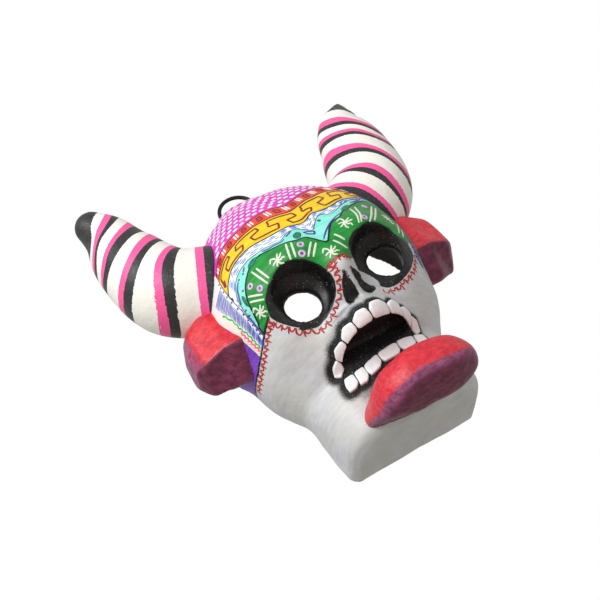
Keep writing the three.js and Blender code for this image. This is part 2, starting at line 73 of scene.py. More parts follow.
def section(column, h):
    """A smooth value of the head's level sections at any height."""
    last = len(SECTIONS) - 1
    i = np.clip(np.searchsorted(SECTIONS[:, 0], h, side="left") - 1, 0, last - 1)
    a, b = SECTIONS[i], SECTIONS[i + 1]
    before, after = SECTIONS[np.maximum(i - 1, 0)], SECTIONS[np.minimum(i + 2, last)]
    span = b[..., 0] - a[..., 0]
    t = np.clip((h - a[..., 0]) / span, 0, 1)
    rise_a = span * (b[..., column] - before[..., column]) / (b[..., 0] - before[..., 0])
    rise_b = span * (after[..., column] - a[..., column]) / (after[..., 0] - a[..., 0])
    t2, t3 = t * t, t * t * t
    ends = a[..., column] * (2 * t3 - 3 * t2 + 1) + b[..., column] * (3 * t2 - 2 * t3)
    return ends + rise_a * (t3 - 2 * t2 + t) + rise_b * (t3 - t2)


def swelling(x, h):
    total = 0
    for height, out, half, reach_x, reach_up, reach_down, power in BUMPS:
        across = (np.abs(x) - half) / reach_x
        rise = h - height
        along = np.abs(rise) / np.where(rise > 0, reach_up, reach_down)
        total = total + out * np.exp(-across ** 2 - along ** power)
    return total


def head_points(turn, h, front=0.0, side=0.0, swell=1.0):
    """Points of the head's outside, or of a copy drawn in at the front and side."""
    full_half, full_depth, square = section(1, h), section(2, h), section(3, h)
    half = np.maximum(full_half - side, full_half * FLOOR_SHARE)
    depth = np.maximum(full_depth - front, full_depth * FLOOR_SHARE)
    s, c = np.sin(turn), np.maximum(np.cos(turn), 0)
    radius = (np.abs(s / half) ** square + (c / depth) ** square) ** (-1 / square)
    near = np.maximum(0, 1 - radius * c / RIM_TUCK_DEPTH)
    x = radius * s - RIM_TUCK * section(4, h) * near * near * np.sign(s)
    y = -radius * c - swell * swelling(x, h) * np.minimum(1, 2 * c)
    return np.stack([x, y, up(h) + 0 * x], -1)


# Mesh tools


def linked(name, data):
    """A new object in the scene."""
    obj = bpy.data.objects.new(name, data)
    bpy.context.collection.objects.link(obj)
    return obj


def mesh_object(name, points, faces):
    """A mesh object from points in millimetres, with its normals turned outwards."""
    mesh = bpy.data.meshes.new(name)
    mesh.from_pydata((np.asarray(points, float) * MM).tolist(), [], faces)
    work = bmesh.new()
    work.from_mesh(mesh)
    bmesh.ops.remove_doubles(work, verts=work.verts, dist=1e-6)
    bmesh.ops.recalc_face_normals(work, faces=work.faces)
    if work.calc_volume(signed=True) < 0:
        bmesh.ops.reverse_faces(work, faces=work.faces)
    work.to_mesh(mesh)
    work.free()
    mesh.polygons.foreach_set("use_smooth", [True] * len(mesh.polygons))
    return linked(name, mesh)


def loft(name, rings):
    """A closed body through rings of points, with a fan over each end."""
    rings = np.asarray(rings, float)
    rows, count = rings.shape[:2]
    points = np.concatenate([rings.reshape(-1, 3), rings[0].mean(0)[None], rings[-1].mean(0)[None]])
    faces = []
    for r in range(rows - 1):
        for k in range(count):
            a, b = r * count + k, r * count + (k + 1) % count
            faces.append((a, b, b + count, a + count))
    for ring, centre in ((0, rows * count), (rows - 1, rows * count + 1)):
        faces += [(centre, ring * count + k, ring * count + (k + 1) % count) for k in range(count)]
    return mesh_object(name, points, faces)


def bake(obj):
    """Applies every modifier on the object and removes them."""
    graph = bpy.context.evaluated_depsgraph_get()
    graph.update()
    mesh = bpy.data.meshes.new_from_object(obj.evaluated_get(graph))
    obj.modifiers.clear()
    obj.data = mesh
    mesh.polygons.foreach_set("use_smooth", [True] * len(mesh.polygons))
    return obj


def cut(obj, tool, keep_tool=False):
    """Takes one body away from another, and the tool with it unless it is kept."""
    change = obj.modifiers.new("cut", "BOOLEAN")
    change.operation = "DIFFERENCE"
    change.solver = "MANIFOLD"
    change.object = tool
    bake(obj)
    if not keep_tool:
        bpy.data.objects.remove(tool)
    return obj


def soften(obj, voxel, rounds):
    """Turns a body into an even skin and rounds its edges, as wet clay is smoothed by a finger."""
    skin = obj.modifiers.new("skin", "REMESH")
    skin.mode = "VOXEL"
    skin.voxel_size = voxel * MM
    smooth = obj.modifiers.new("smooth", "SMOOTH")
    smooth.factor = 0.5
    smooth.iterations = rounds
    return bake(obj)


def change_sides(obj):
    """Turns a body over to the other side of the middle plane."""
    obj.data.transform(Matrix.Scale(-1, 4, (1, 0, 0)))
    obj.data.flip_normals()
    return obj


def point_values(obj, kind):
    """Three values for every point of the object: its place, "co", or its "normal"."""
    flat = np.empty(len(obj.data.vertices) * 3)
    obj.data.vertices.foreach_get(kind, flat)
    return flat.reshape(-1, 3)


def coordinates(obj):
    """The object's points in millimetres."""
    return point_values(obj, "co") / MM


def set_coordinates(obj, points):
    obj.data.vertices.foreach_set("co", (np.asarray(points) * MM).ravel())
    obj.data.update()


def set_attribute(obj, name, values):
    layer = obj.data.attributes.new(name, "FLOAT", "POINT")
    layer.data.foreach_set("value", np.asarray(values, float).ravel())


def tree_of(obj):
    """A search tree over the object's faces, in millimetres."""
    points = coordinates(obj)
    faces = [tuple(p.vertices) for p in obj.data.polygons]
    return BVHTree.FromPolygons(points.tolist(), faces)


def distances(tree, points, limit=60.0):
    found = (tree.find_nearest(Vector(p), limit)[3] for p in points)
    return np.array([limit if d is None else d for d in found])


def smoothstep(value, low, high):
    t = np.clip((value - low) / (high - low), 0, 1)
    return t * t * (3 - 2 * t)


def unit(ways):
    """The same directions, one unit long."""
    return ways / np.linalg.norm(ways, axis=-1, keepdims=True)


def lengths_along(line):
    """How far along a line each of its points lies."""
    return np.concatenate([[0], np.cumsum(np.linalg.norm(np.diff(line, axis=0), axis=1))])


def spread(line, step):
    """Points spaced evenly along a line, a step in millimetres apart."""
    lengths = lengths_along(line)
    count = max(2, int(math.ceil(lengths[-1] / step)) + 1)
    places = np.linspace(0, lengths[-1], count)
    return np.stack([np.interp(places, lengths, line[:, k]) for k in range(3)], -1), places / lengths[-1]


def circle(centre, axis, side, radius, sides):
    other = unit(np.cross(axis, side))
    angle = np.arange(sides) * 2 * np.pi / sides
    return centre + radius * (np.cos(angle)[:, None] * side + np.sin(angle)[:, None] * other)


# How uneven the hand left each piece: millimetres in and out, the size of a lump, and which lumps
UNEVEN = {"head": [(0.35, 17.0, 1), (0.12, 6.0, 2)], "right horn": [(0.3, 21.0, 3), (0.1, 7.0, 5)],
          "left horn": [(0.3, 21.0, 4), (0.1, 7.0, 5)], "right ear": [(0.4, 14.0, 6)], "left ear": [(0.4, 14.0, 7)],
          "tongue": [(0.8, 11.0, 8)]}
LUMP_SHIFT = Vector((17.3, 5.1, 9.7))


def lumps(obj, piece):
    """Moves the skin in and out a little, as hand-modelled clay is never even."""
    for amount, scale, seed in UNEVEN[piece]:
        points = coordinates(obj)
        swell = np.array([noise.noise(Vector(p) / scale + LUMP_SHIFT * seed) for p in points])
        set_coordinates(obj, points + point_values(obj, "normal") * (amount * swell)[:, None])


# Clay: head, sockets, nostrils, mouth
HEAD_COLUMNS, HEAD_ROWS = 150, 220


def head_block(name, low, high, back=0.0, **size):
    """The head's form between two levels, brought out behind the wall plane if asked."""
    turns = np.radians(np.linspace(-90, 90, HEAD_COLUMNS))
    heights = np.linspace(0, CROWN_HEIGHT, HEAD_ROWS)
    rings = head_points(turns[None, :], heights[:, None], **size)
    rings[..., 2] = (low + (high - low) * heights / CROWN_HEIGHT)[:, None]
    if back > 0:
        corner = rings[:, -1:].copy()
        corner[..., 1] = back
        other = corner * np.array([-1, 1, 1])
        rings = np.concatenate([rings, corner, other], 1)
    return loft(name, rings)


def head_grown(name, distance):
    return head_block(name, up(0) - distance, up(CROWN_HEIGHT) + distance, max(distance, 0.0),
                      front=-distance, side=-distance)


SOCKET_HALF_GAP, SOCKET_RIM_HEIGHT, SOCKET_RIM_DEPTH, SOCKET_TILT = 22.3, 67.8, 60.0, 38.0
SOCKET_RIM_RADIUS, SOCKET_THROAT_RADIUS, SOCKET_HOLE_RADIUS = 15.4, 13.6, 8.6
# The holes were cut by hand: each sits a little to the viewer's right of its socket
HOLE_SHIFT = {-1: (1.5, 0, -1.5), 1: (3.0, 0, 0)}
SOCKET_THROAT_DEEP, SOCKET_HOLE_DEEP, SOCKET_WALL = 4.0, 7.0, 3.5
SOCKET_SIDES = 96


def socket(name, margin, reach, sign):
    side = np.array([1.0, 0, 0])
    tilt = math.radians(SOCKET_TILT)
    tilted = np.array([0, math.cos(tilt), math.sin(tilt)])
    level = np.array([0, 1.0, 0])
    between = unit(tilted + level)
    rim = np.array([SOCKET_HALF_GAP, -SOCKET_RIM_DEPTH, up(SOCKET_RIM_HEIGHT)])
    throat = rim + level * SOCKET_THROAT_DEEP
    hole = rim + level * (SOCKET_HOLE_DEEP + margin)
    shift = np.array(HOLE_SHIFT[sign]) * np.array([sign, 1, 1])
    throat, hole = throat + shift / 2, hole + shift
    stations = [(rim - tilted * reach, tilted, SOCKET_RIM_RADIUS), (rim, tilted, SOCKET_RIM_RADIUS),
                (throat, between, SOCKET_THROAT_RADIUS), (hole, level, SOCKET_HOLE_RADIUS)]
    if margin == 0:
        stations.append((hole + level * SOCKET_HOLE_DEEP, level, SOCKET_HOLE_RADIUS))
    rings = [circle(c, axis, side, r + margin, SOCKET_SIDES) * np.array([sign, 1, 1]) for c, axis, r in stations]
    return loft(name, rings)


# Across at the top and at the bottom of each nostril: the nose leans to the viewer's right
NOSTRIL_ACROSS = {-1: (-1.5, -1.8), 1: (1.9, 8.2)}
NOSTRIL_LOW = {-1: 54.4, 1: 57.4}
NOSTRIL_HIGH, NOSTRIL_TOP_RADIUS, NOSTRIL_RADIUS, NOSTRIL_SIDES = 62.8, 0.7, 3.6, 48
HALF_AT_NOSE = 56.0
NOSTRIL_LEFT = [
    (-1.3, -18.1), (-0.7, -19.5), (0, -21.9), (1.4, -24.9), (2.4, -28), (1.7, -30.1), (-1.9, -31.5), (-4.1, -31.8),
    (-4.9, -31.3), (-5.7, -29.8), (-5.9, -27.4), (-5.2, -24.7), (-4.3, -22.3), (-3.2, -20.6), (-2.2, -19)]
NOSTRIL_RIGHT = [
    (1.4, -18.2), (4.3, -19.4), (7.3, -21.6), (10.1, -24.3), (12.7, -27.3), (14.2, -29.7), (13.3, -30.7), (10, -31.5),
    (7.2, -31.2), (5.2, -29.2), (3.7, -26.7), (2.6, -23.7), (1.7, -20.6)]


def nostril(name, sign):
    side = np.array([1.0, 0, 0])
    ends = []
    for x, h in zip(NOSTRIL_ACROSS[sign], (NOSTRIL_HIGH, NOSTRIL_LOW[sign])):
        turn = np.arcsin(x / HALF_AT_NOSE)
        ends.append(np.array([x, head_points(turn, np.array(h))[1], up(h)]))
    top, low = ends
    axis = unit(low - top)
    rings = [circle(top, axis, side, NOSTRIL_TOP_RADIUS, NOSTRIL_SIDES)]
    for angle in np.radians(np.arange(0, 90, 12)):
        centre = low + axis * NOSTRIL_RADIUS * math.sin(angle)
        rings.append(circle(centre, axis, side, NOSTRIL_RADIUS * math.cos(angle), NOSTRIL_SIDES))
    return loft(name, rings)


MOUTH_HALF_WIDTH, MOUTH_BACK_DEPTH, MOUTH_BACK_HEIGHT = 19.0, 38.5, 35.5
MOUTH_REACH, MOUTH_SLOPE, MOUTH_DEEP, MOUTH_ROUNDING = 20.5, 13.0, 10.0, 0.52
MOUTH_STEPS, MOUTH_RINGS = 40, 12


def bezier(a, b, c, d, count):
    t = np.linspace(0, 1, count)[:, None]
    return a * (1 - t) ** 3 + 3 * b * t * (1 - t) ** 2 + 3 * c * t * t * (1 - t) + d * t ** 3


def mouth_pocket(name, margin):
    half, reach = MOUTH_HALF_WIDTH + margin, MOUTH_REACH + margin
    shoulder, brow = reach * MOUTH_ROUNDING, half * MOUTH_ROUNDING
    right = bezier(*np.array([(half, -margin), (half, shoulder), (brow, reach), (0, reach)], float), MOUTH_STEPS)
    left = right[::-1][1:] * np.array([-1, 1])
    outline = np.concatenate([right, left])
    slope = math.radians(-MOUTH_SLOPE)
    rings = []
    for z in np.linspace(-MOUTH_REACH, MOUTH_DEEP + margin, MOUTH_RINGS):
        x, y = outline[:, 0], -outline[:, 1]
        ring = np.stack([x, y * math.cos(slope) - z * math.sin(slope), y * math.sin(slope) + z * math.cos(slope)], -1)
        rings.append(ring + np.array([0, -MOUTH_BACK_DEPTH, up(MOUTH_BACK_HEIGHT)]))
    return loft(name, rings)


# The fineness of each piece's skin in millimetres, and the rounds of smoothing before and after it is fitted
HEAD_SKIN, HORN_SKIN, EAR_SKIN, TONGUE_SKIN = 1.05, 1.0, 0.85, 0.9
EAR_ROUNDS, TONGUE_ROUNDS, LAST_ROUNDS = 22, 14, 3
outer = head_block("outer_form", up(0), up(CROWN_HEIGHT))
OUTER_TREE = tree_of(outer)
hollow = head_block("hollow", up(CHIN_WALL), up(CROWN_HEIGHT - CROWN_WALL), WALL,
                    front=WALL, side=SIDE_WALL, swell=HOLLOW_SWELL)
cut(hollow, mouth_pocket("mouth_wall", WALL))
for sign in (-1, 1):
    cut(hollow, socket("collar", SOCKET_WALL, 0.0, sign))
HOLLOW_TREE = tree_of(hollow)
head = cut(outer, hollow)
head.name = "skull_mask"
SOCKET_TREES, NOSTRIL_TREES = [], []
for sign in (-1, 1):
    tool = socket("socket_tool", 0.0, 2 * SOCKET_RIM_RADIUS, sign)
    SOCKET_TREES.append(tree_of(tool))
    cut(head, tool)
    tool = nostril("nostril_tool", sign)
    NOSTRIL_TREES.append(tree_of(tool))
    cut(head, tool)
pocket = mouth_pocket("mouth_tool", 0.0)
MOUTH_TREE = tree_of(pocket)
cut(head, pocket, keep_tool=True)
soften(head, HEAD_SKIN, LAST_ROUNDS)
lumps(head, "head")
skin = coordinates(head)
skin[:, 1] = np.minimum(skin[:, 1], 0)
set_coordinates(head, skin)
HEAD_TREE = tree_of(head)

# Teeth: flat tiles laid on the clay, each with its outline as (across, height), starting at the mouth's edge
TOOTH_TILES = {
    "upper": [
        [(-20.9, 33.2), (-17.7, 37.0), (-20.6, 39.3), (-23.0, 38.3), (-23.3, 35.2)],
        [(-17.4, 37.7), (-14.1, 39.4), (-16.2, 42.3), (-19.8, 41.9), (-20.6, 39.6)],
        [(-13.5, 39.6), (-8.5, 40.7), (-9.6, 44.4), (-13.4, 45.2), (-15.6, 42.5)],
        [(-7.9, 40.8), (-0.7, 40.6), (-2.2, 45.1), (-6.2, 45.9), (-9.0, 44.1)],
        [(-0.1, 40.6), (8.2, 40.5), (7.6, 44.1), (4.9, 46.0), (0.7, 45.9), (-0.8, 43.6)],
        [(9.0, 40.4), (15.3, 39.7), (14.8, 44.4), (12.2, 45.9), (8.9, 43.9)],
        [(15.8, 39.5), (18.9, 37.9), (20.3, 40.9), (17.9, 43.3), (15.6, 43.0)],
        [(19.3, 37.5), (21.0, 34.2), (23.4, 36.0), (23.0, 39.4), (20.6, 40.5)],
    ],
    "lower": [
        [(-20.8, 31.3), (-16.3, 31.4), (-16.9, 26.2), (-19.2, 23.9), (-22.8, 23.7), (-22.6, 27.2)],
        [(-15.6, 31.5), (-10.5, 32.2), (-11.2, 26.4), (-13.3, 24.0), (-17.0, 23.9), (-16.3, 27.2)],
        [(-9.9, 32.4), (-1.8, 34.6), (-2.0, 29.6), (-4.2, 27.3), (-9.7, 25.6), (-10.6, 28.3)],
        [(-1.2, 34.7), (9.1, 35.5), (8.9, 30.7), (7.2, 28.9), (-0.3, 28.7), (-1.2, 30.7)],
        [(9.7, 35.6), (18.0, 35.1), (17.5, 30.1), (15.0, 29.0), (11.0, 29.1), (9.7, 31.6)],
        [(18.7, 35.0), (23.2, 33.2), (23.0, 28.4), (20.6, 27.6), (18.3, 29.6)],
    ],
}
TOOTH_SINK, TOOTH_ROUNDING, TOOTH_ROUNDS, TOOTH_SPACING, TOOTH_SPREAD = 0.7, 0.13, 3, 0.35, 0.06
TOOTH_PROFILE = ((1.0, -TOOTH_SINK), (1.0, 0.8), (0.985, 1.15), (0.94, 1.42), (0.85, 1.55), (0.6, 1.62), (0.25, 1.65))


def rounded(outline, share, rounds):
    """An outline with its corners cut back again and again, as a finger rounds a tile's edge."""
    for _ in range(rounds):
        after = np.roll(outline, -1, axis=0)
        corners = [outline * (1 - share) + after * share, outline * share + after * (1 - share)]
        outline = np.stack(corners, 1).reshape(-1, 2)
    return outline


def skin_depth(x, z):
    """The head's outside straight behind a point of the front view."""
    hit = OUTER_TREE.ray_cast(Vector((x, -150.0, z)), Vector((0, 1, 0)))
    return np.array(hit[0]), np.array(hit[1])


def tooth(name, corners):
    """A pillowed tile that follows the skin under its outline."""
    outline = np.array(corners) + np.array([0, up(0)])
    outline = rounded(outline, TOOTH_ROUNDING, TOOTH_ROUNDS)
    steps = np.concatenate([outline, outline[:1]])
    outline = spread(np.c_[steps, np.zeros(len(steps))], TOOTH_SPACING)[0][:-1, :2]
    centre = outline.mean(0)
    outline = outline + unit(outline - centre) * TOOTH_SPREAD
    rings = []
    for share, rise in TOOTH_PROFILE:
        skin = [skin_depth(x, z) for x, z in centre + (outline - centre) * share]
        rings.append([point + normal * rise for point, normal in skin])
    return loft(name, rings)


teeth = []
for row_name, tiles in TOOTH_TILES.items():
    for index, corners in enumerate(tiles, 1):
        tile = tooth(f"{row_name}_tooth_tile_{index}", corners)
        if row_name == "upper":
            cut(tile, pocket, keep_tool=True)
        teeth.append((tile, f"{row_name}_tooth_{index}"))
bpy.data.objects.remove(pocket)

# Horns: bent, tapered, rounded at the tip
HORN_STATIONS = np.array([(36, -23, up(113)), (58.5, -23, up(126)), (67.5, -23, up(152.5)), (70.5, -25, up(172)),
                          (78, -28, up(187))], float)
HORN_RADIUS, HORN_TIP_RADIUS, HORN_TAPER_START, HORN_TAPER_POWER = 22.3, 7.0, 0.25, 1.5
HORN_ROUND_START, HORN_ROUNDING = 0.93, 0.85
HORN_RINGS, HORN_SIDES = 150, 96
LINE_STEPS = 600


def bent_line(stations, steps):
    """A centripetal Catmull-Rom line, given evenly in its own parameter."""
    points = np.concatenate([[2 * stations[0] - stations[1]], stations, [2 * stations[-1] - stations[-2]]])
    spans = len(stations) - 1
    made = []
    for k in range(steps + 1):
        place = k / steps * spans
        i = min(int(place), spans - 1)
        t = place - i
        p0, p1, p2, p3 = points[i:i + 4]
        d0, d1, d2 = (math.sqrt(np.linalg.norm(b - a)) for a, b in ((p0, p1), (p1, p2), (p2, p3)))
        m1 = ((p1 - p0) / d0 - (p2 - p0) / (d0 + d1) + (p2 - p1) / d1) * d1
        m2 = ((p2 - p1) / d1 - (p3 - p1) / (d1 + d2) + (p3 - p2) / d2) * d1
        made.append(p1 + m1 * t + (-3 * p1 + 3 * p2 - 2 * m1 - m2) * t * t + (2 * p1 - 2 * p2 + m1 + m2) * t ** 3)
    return np.array(made)


HORN_LINE = bent_line(HORN_STATIONS, LINE_STEPS)
HORN_LENGTHS = lengths_along(HORN_LINE)
HORN_TANGENTS = unit(np.gradient(HORN_LINE, axis=0))
# How slim each horn is along its length: left blunt, right drawn to a point
HORN_SLIM = {-1: ([0, 0.35, 0.7, 0.9, 1], [1, 0.97, 0.89, 0.85, 0.86]),
             1: ([0, 0.35, 0.7, 0.86, 1], [1, 0.97, 0.96, 0.85, 0.3])}


def horn_body(name, margin, sign=-1):
    rings = []
    for k in range(HORN_RINGS + 1):
        t = math.sin(math.pi / 2 * k / HORN_RINGS)
        taper = max(0.0, (t - HORN_TAPER_START) / (1 - HORN_TAPER_START)) ** HORN_TAPER_POWER
        end = max(0.0, (t - HORN_ROUND_START) / (1 - HORN_ROUND_START))
        radius = HORN_RADIUS + (HORN_TIP_RADIUS - HORN_RADIUS) * taper
        radius *= math.sqrt(1 - HORN_ROUNDING * end * end) * np.interp(t, *HORN_SLIM[sign])
        place = int(round(t * LINE_STEPS))
        axis = HORN_TANGENTS[place]
        side = unit(np.array([0, 1.0, 0]) - axis * axis[1])
        rings.append(circle(HORN_LINE[place], axis, side, radius + margin, HORN_SIDES))
    return loft(name, rings)


PIECE_SINK = 0.6
head_core = head_grown("head_core", -PIECE_SINK)
horns = []
for sign, side_name in ((1, "right"), (-1, "left")):
    horn = horn_body(f"horn_body_{side_name}", 0.0, sign)
    cut(horn, head_core, keep_tool=True)
    soften(horn, HORN_SKIN, LAST_ROUNDS)
    lumps(horn, f"{side_name} horn")
    if sign < 0:
        change_sides(horn)
    horns.append((horn, f"horn_{side_name}", sign))

# Ears: faceted wedges
EAR_STATIONS = [
    (38, (9, 110), (34, 93), (41, 74), (26, 61), (5, 72)), (58, (11, 114), (31.5, 102), (38, 75), (23, 61), (5, 71)),
    (70, (13, 101), (28.5, 95), (31, 75), (13, 67), (5, 76)), (75, (13, 90), (21, 87), (23, 78), (13, 75), (8, 80)),
]
horn_tool = horn_body("horn_tool", 0.0)
ear = loft("ear_wedge_right", [[(out, -depth, up(height)) for depth, height in corners]
                              for out, *corners in EAR_STATIONS])
soften(ear, EAR_SKIN, EAR_ROUNDS)
cut(ear, head_core, keep_tool=True)
cut(ear, horn_tool)
soften(ear, EAR_SKIN, LAST_ROUNDS)
ear_left = change_sides(linked("ear_wedge_left", ear.data.copy()))
# The left ear was pressed a little flatter than the right one
EAR_ROOT, LEFT_EAR_SHARE = 40.0, 0.91
pressed = coordinates(ear_left)
out = -pressed[:, 0]
pressed[:, 0] = -np.where(out > EAR_ROOT, EAR_ROOT + (out - EAR_ROOT) * LEFT_EAR_SHARE, out)
set_coordinates(ear_left, pressed)
lumps(ear, "right ear")
lumps(ear_left, "left ear")

# Tongue: a thick lobe below the lower teeth
TONGUE_HALF, TONGUE_MIDDLE, TONGUE_ROOT_LIFT, TONGUE_RISE, TONGUE_FALL = 26.8, 1.0, 5.0, 17.2, 9.5
TONGUE_FRONT, TONGUE_ROOT_DEPTH, TONGUE_FRONT_POWER, TONGUE_EDGE_POWER = 75.0, 30.0, 4.3, 2.6
TONGUE_FALL_START, TONGUE_FALL_END, TONGUE_FULLNESS, SMALLEST_SHARE = 0.15, 0.6, 0.85, 0.004
TONGUE_RINGS, TONGUE_SIDES, TONGUE_LEAN = 90, 140, 1.3

rings = []
angles = np.arange(TONGUE_SIDES) * 2 * np.pi / TONGUE_SIDES
across = np.sign(np.cos(angles)) * np.abs(np.cos(angles)) ** TONGUE_FULLNESS
rise = np.sign(np.sin(angles)) * np.abs(np.sin(angles)) ** TONGUE_FULLNESS
for r in range(TONGUE_RINGS + 1):
    share = math.sin(math.pi / 2 * r / TONGUE_RINGS)
    size = max(1 - share ** TONGUE_FRONT_POWER, SMALLEST_SHARE) ** (1 / TONGUE_EDGE_POWER)
    drop = float(smoothstep(share, TONGUE_FALL_START, TONGUE_FALL_END))
    lift = TONGUE_ROOT_LIFT * (1 - drop)
    fall = TONGUE_ROOT_LIFT + (TONGUE_FALL - TONGUE_ROOT_LIFT) * drop
    depth = TONGUE_ROOT_DEPTH + (TONGUE_FRONT - TONGUE_ROOT_DEPTH) * share
    z = up(TONGUE_MIDDLE + lift) + np.where(rise > 0, TONGUE_RISE - lift, fall) * size * rise
    rings.append(np.stack([TONGUE_LEAN + TONGUE_HALF * size * across, -depth + 0 * z, z], -1))
tongue = loft("tongue_lobe", rings)
soften(tongue, TONGUE_SKIN, TONGUE_ROUNDS)
cut(tongue, head_core)
soften(tongue, TONGUE_SKIN, LAST_ROUNDS)
lumps(tongue, "tongue")

# Wire loop
WIRE_RADIUS, LOOP_RADIUS, LOOP_DEPTH, LOOP_LEG = 1.05, 10.0, 11.0, 8.0
LEG_STEPS, ARC_STEPS, WIRE_SIDES = 6, 48, 20
loop_centre = WIRE_RADIUS - LOOP_RADIUS
legs = [loop_centre - LOOP_LEG * k / LEG_STEPS for k in range(1, LEG_STEPS + 1)]
path = [(-LOOP_RADIUS, -LOOP_DEPTH, level) for level in legs[::-1]]
for k in range(ARC_STEPS + 1):
    angle = math.pi * (1 - k / ARC_STEPS)
    path.append((LOOP_RADIUS * math.cos(angle), -LOOP_DEPTH, loop_centre + LOOP_RADIUS * math.sin(angle)))
path = np.array(path + [(LOOP_RADIUS, -LOOP_DEPTH, level) for level in legs])
tangents = unit(np.gradient(path, axis=0))
wire = loft("wire_loop", [circle(p, t, np.array([0, 1.0, 0]), WIRE_RADIUS, WIRE_SIDES)
                          for p, t in zip(path, tangents)])

# The painted design, drawn in degrees over the face
# Each point is (turn, rise) in degrees about the middle of the head: turn to the viewer's right, rise upwards.
PAINT_CENTRE = np.array([0.0, -5.0, up(85.0)])
CROWN_EDGE = [
    (-100, 12), (-60, 15), (-50, 18), (-46.8, 20.6), (-44.5, 23.4), (-42.2, 25.8), (-39.2, 27.7), (-34.8, 28.7),
    (-29.7, 29.6), (-24.5, 30.4), (-17.9, 32.4), (-11.5, 34), (-5.7, 33.7), (-1, 31.6), (1.1, 30.3), (5.2, 31.8),
    (10.8, 33.4), (17, 34.6), (21.9, 34.9), (27, 34.6), (35, 32), (42, 28), (47, 23), (60, 17), (100, 14)]
RED_EDGE = [
    (-100, 9), (-60, 12), (-50, 14.5), (-46.7, 17), (-44.1, 19.3), (-40.5, 21.3), (-36.5, 22.9), (-32.2, 23.3),
    (-26.9, 24.3), (-20.8, 25.4), (-15.2, 25.8), (-9.9, 25.7), (-5.1, 24.7), (-1.8, 23.7), (0.2, 23.4), (4.3, 24.6),
    (9.6, 26.3), (14.6, 26.7), (20.3, 27.8), (25.3, 27.8), (30.4, 27.6), (38, 26), (44, 22), (50, 17), (100, 10)]
YELLOW_EDGE = [
    (-100, 0), (-50, 1), (-46.2, 5.9), (-43.8, 9.6), (-40.7, 12.5), (-37.3, 14.2), (-33.4, 15.1), (-29.5, 15.5),
    (-25.6, 15.5), (-20.7, 14.7), (-15.9, 14.1), (-11, 14), (-7, 13.9), (-4.2, 12.7), (-0.7, 11.9), (2.2, 13.2),
    (5.6, 15.1), (8.4, 14.6), (11.8, 14.2), (16, 14.8), (21.2, 16.5), (26, 17.4), (31.4, 17.8), (38.1, 19.5),
    (44, 17), (50, 12), (100, 6)]
WHITE_EDGE = [
    (-46.6, -40), (-46.1, -17.5), (-45.4, -13.6), (-44.6, -8.9), (-44.2, -4), (-43.4, 0.2), (-42.1, 3.7),
    (-39.9, 7), (-36.4, 9.4), (-33.2, 10.3), (-29.4, 10.7), (-25.7, 10.2), (-22.1, 9.8), (-18.6, 8.7), (-14.8, 7.5),
    (-12.5, 8.3), (-10.1, 10.2), (-7.5, 10.4), (-5.4, 9.9), (-3.4, 7.4), (-2, 5.7), (-0.1, 4.7), (2.7, 8), (6.2, 11.3),
    (8.7, 11.3), (11.4, 9.4), (15.1, 10.3), (18.9, 12.4), (23.5, 14.6), (27.5, 15.8), (32.6, 16.4), (38.6, 17.6),
    (44, 15), (48.5, 8), (50, 0), (50.5, -12), (51, -40)]
TURQUOISE_EDGE = [
    (-46, -40), (-45.4, -17.6), (-43.3, -12.7), (-41.4, -8.1), (-40.1, -4), (-38.3, -0.7), (-36.1, 2.4), (-33.3, 5),
    (-30, 7.1), (-26.2, 8.2), (-23.2, 7.7), (-19.7, 6.2), (-15.6, 4.5), (-12.5, 3.2), (-9.7, 1.8), (-7, 1.9),
    (-5.2, 1.1), (-3.7, -1), (-1.9, -3.2), (0.1, -5.3), (2.4, -2.7), (5.2, 0.7), (7.8, 3), (9.8, 3.2), (12.1, 3.8),
    (15.5, 6.8), (20.6, 9.8), (25.9, 12), (32.3, 14.3), (38.6, 15.4), (43, 12), (46.5, 6), (48, -2), (48.5, -10),
    (49, -40)]
TEMPLE_FRONT = [(-47.6, 22), (-47, 17.3), (-46.8, 12.7), (-46.2, 5.9), (-45.2, -2.6), (-45.1, -9.3), (-45.9, -14.5),
                (-46.3, -18.3)]
WAVY_EDGE = [(-59, 15), (-57, 8), (-55.3, 3.6), (-52.8, -1.3), (-52.3, -4.6), (-52.3, -7.4), (-51.6, -10.3),
             (-51.5, -13.3), (-51.7, -15.8), (-51.8, -18.2), (-51.9, -20.4), (-52, -30)]
VIOLET_EDGE = [(-66, 12), (-60, 3), (-57, -6), (-56, -13.5), (-56, -21.9), (-56, -30)]
JAW_LINE = [(-38.2, -14.7), (-43.1, -16.8), (-49.5, -19.9), (-56.8, -22.6), (-65.1, -24.8), (-74.5, -25.8),
            (-88, -26.6), (-110, -27)]
JAW_LINE_RIGHT = [(46.8, -9.1), (52, -8.6), (60, -8), (66, -8), (74, -14), (84, -18), (110, -20)]
SIDE_SHIFT = 3.0
SOCKET_LEFT = [
    (-33.5, -8.4), (-35.2, -10.5), (-37.1, -13.8), (-37.9, -15.3), (-37.4, -17.8), (-36.6, -20), (-34.7, -23.1),
    (-32.5, -25.9), (-30.6, -27.7), (-28.2, -29.1), (-24.7, -30.1), (-20.5, -30.5), (-16.3, -30), (-12.8, -28.3),
    (-10.2, -25.8), (-8.5, -22.7), (-7.4, -19.7), (-6.9, -17), (-7, -14.6), (-7.7, -12), (-9, -9.7), (-11.1, -8),
    (-13.8, -6.6), (-16.7, -5.7), (-19.5, -5), (-22.4, -5), (-25.3, -5.3), (-28.6, -5.7), (-30.8, -6.8)]
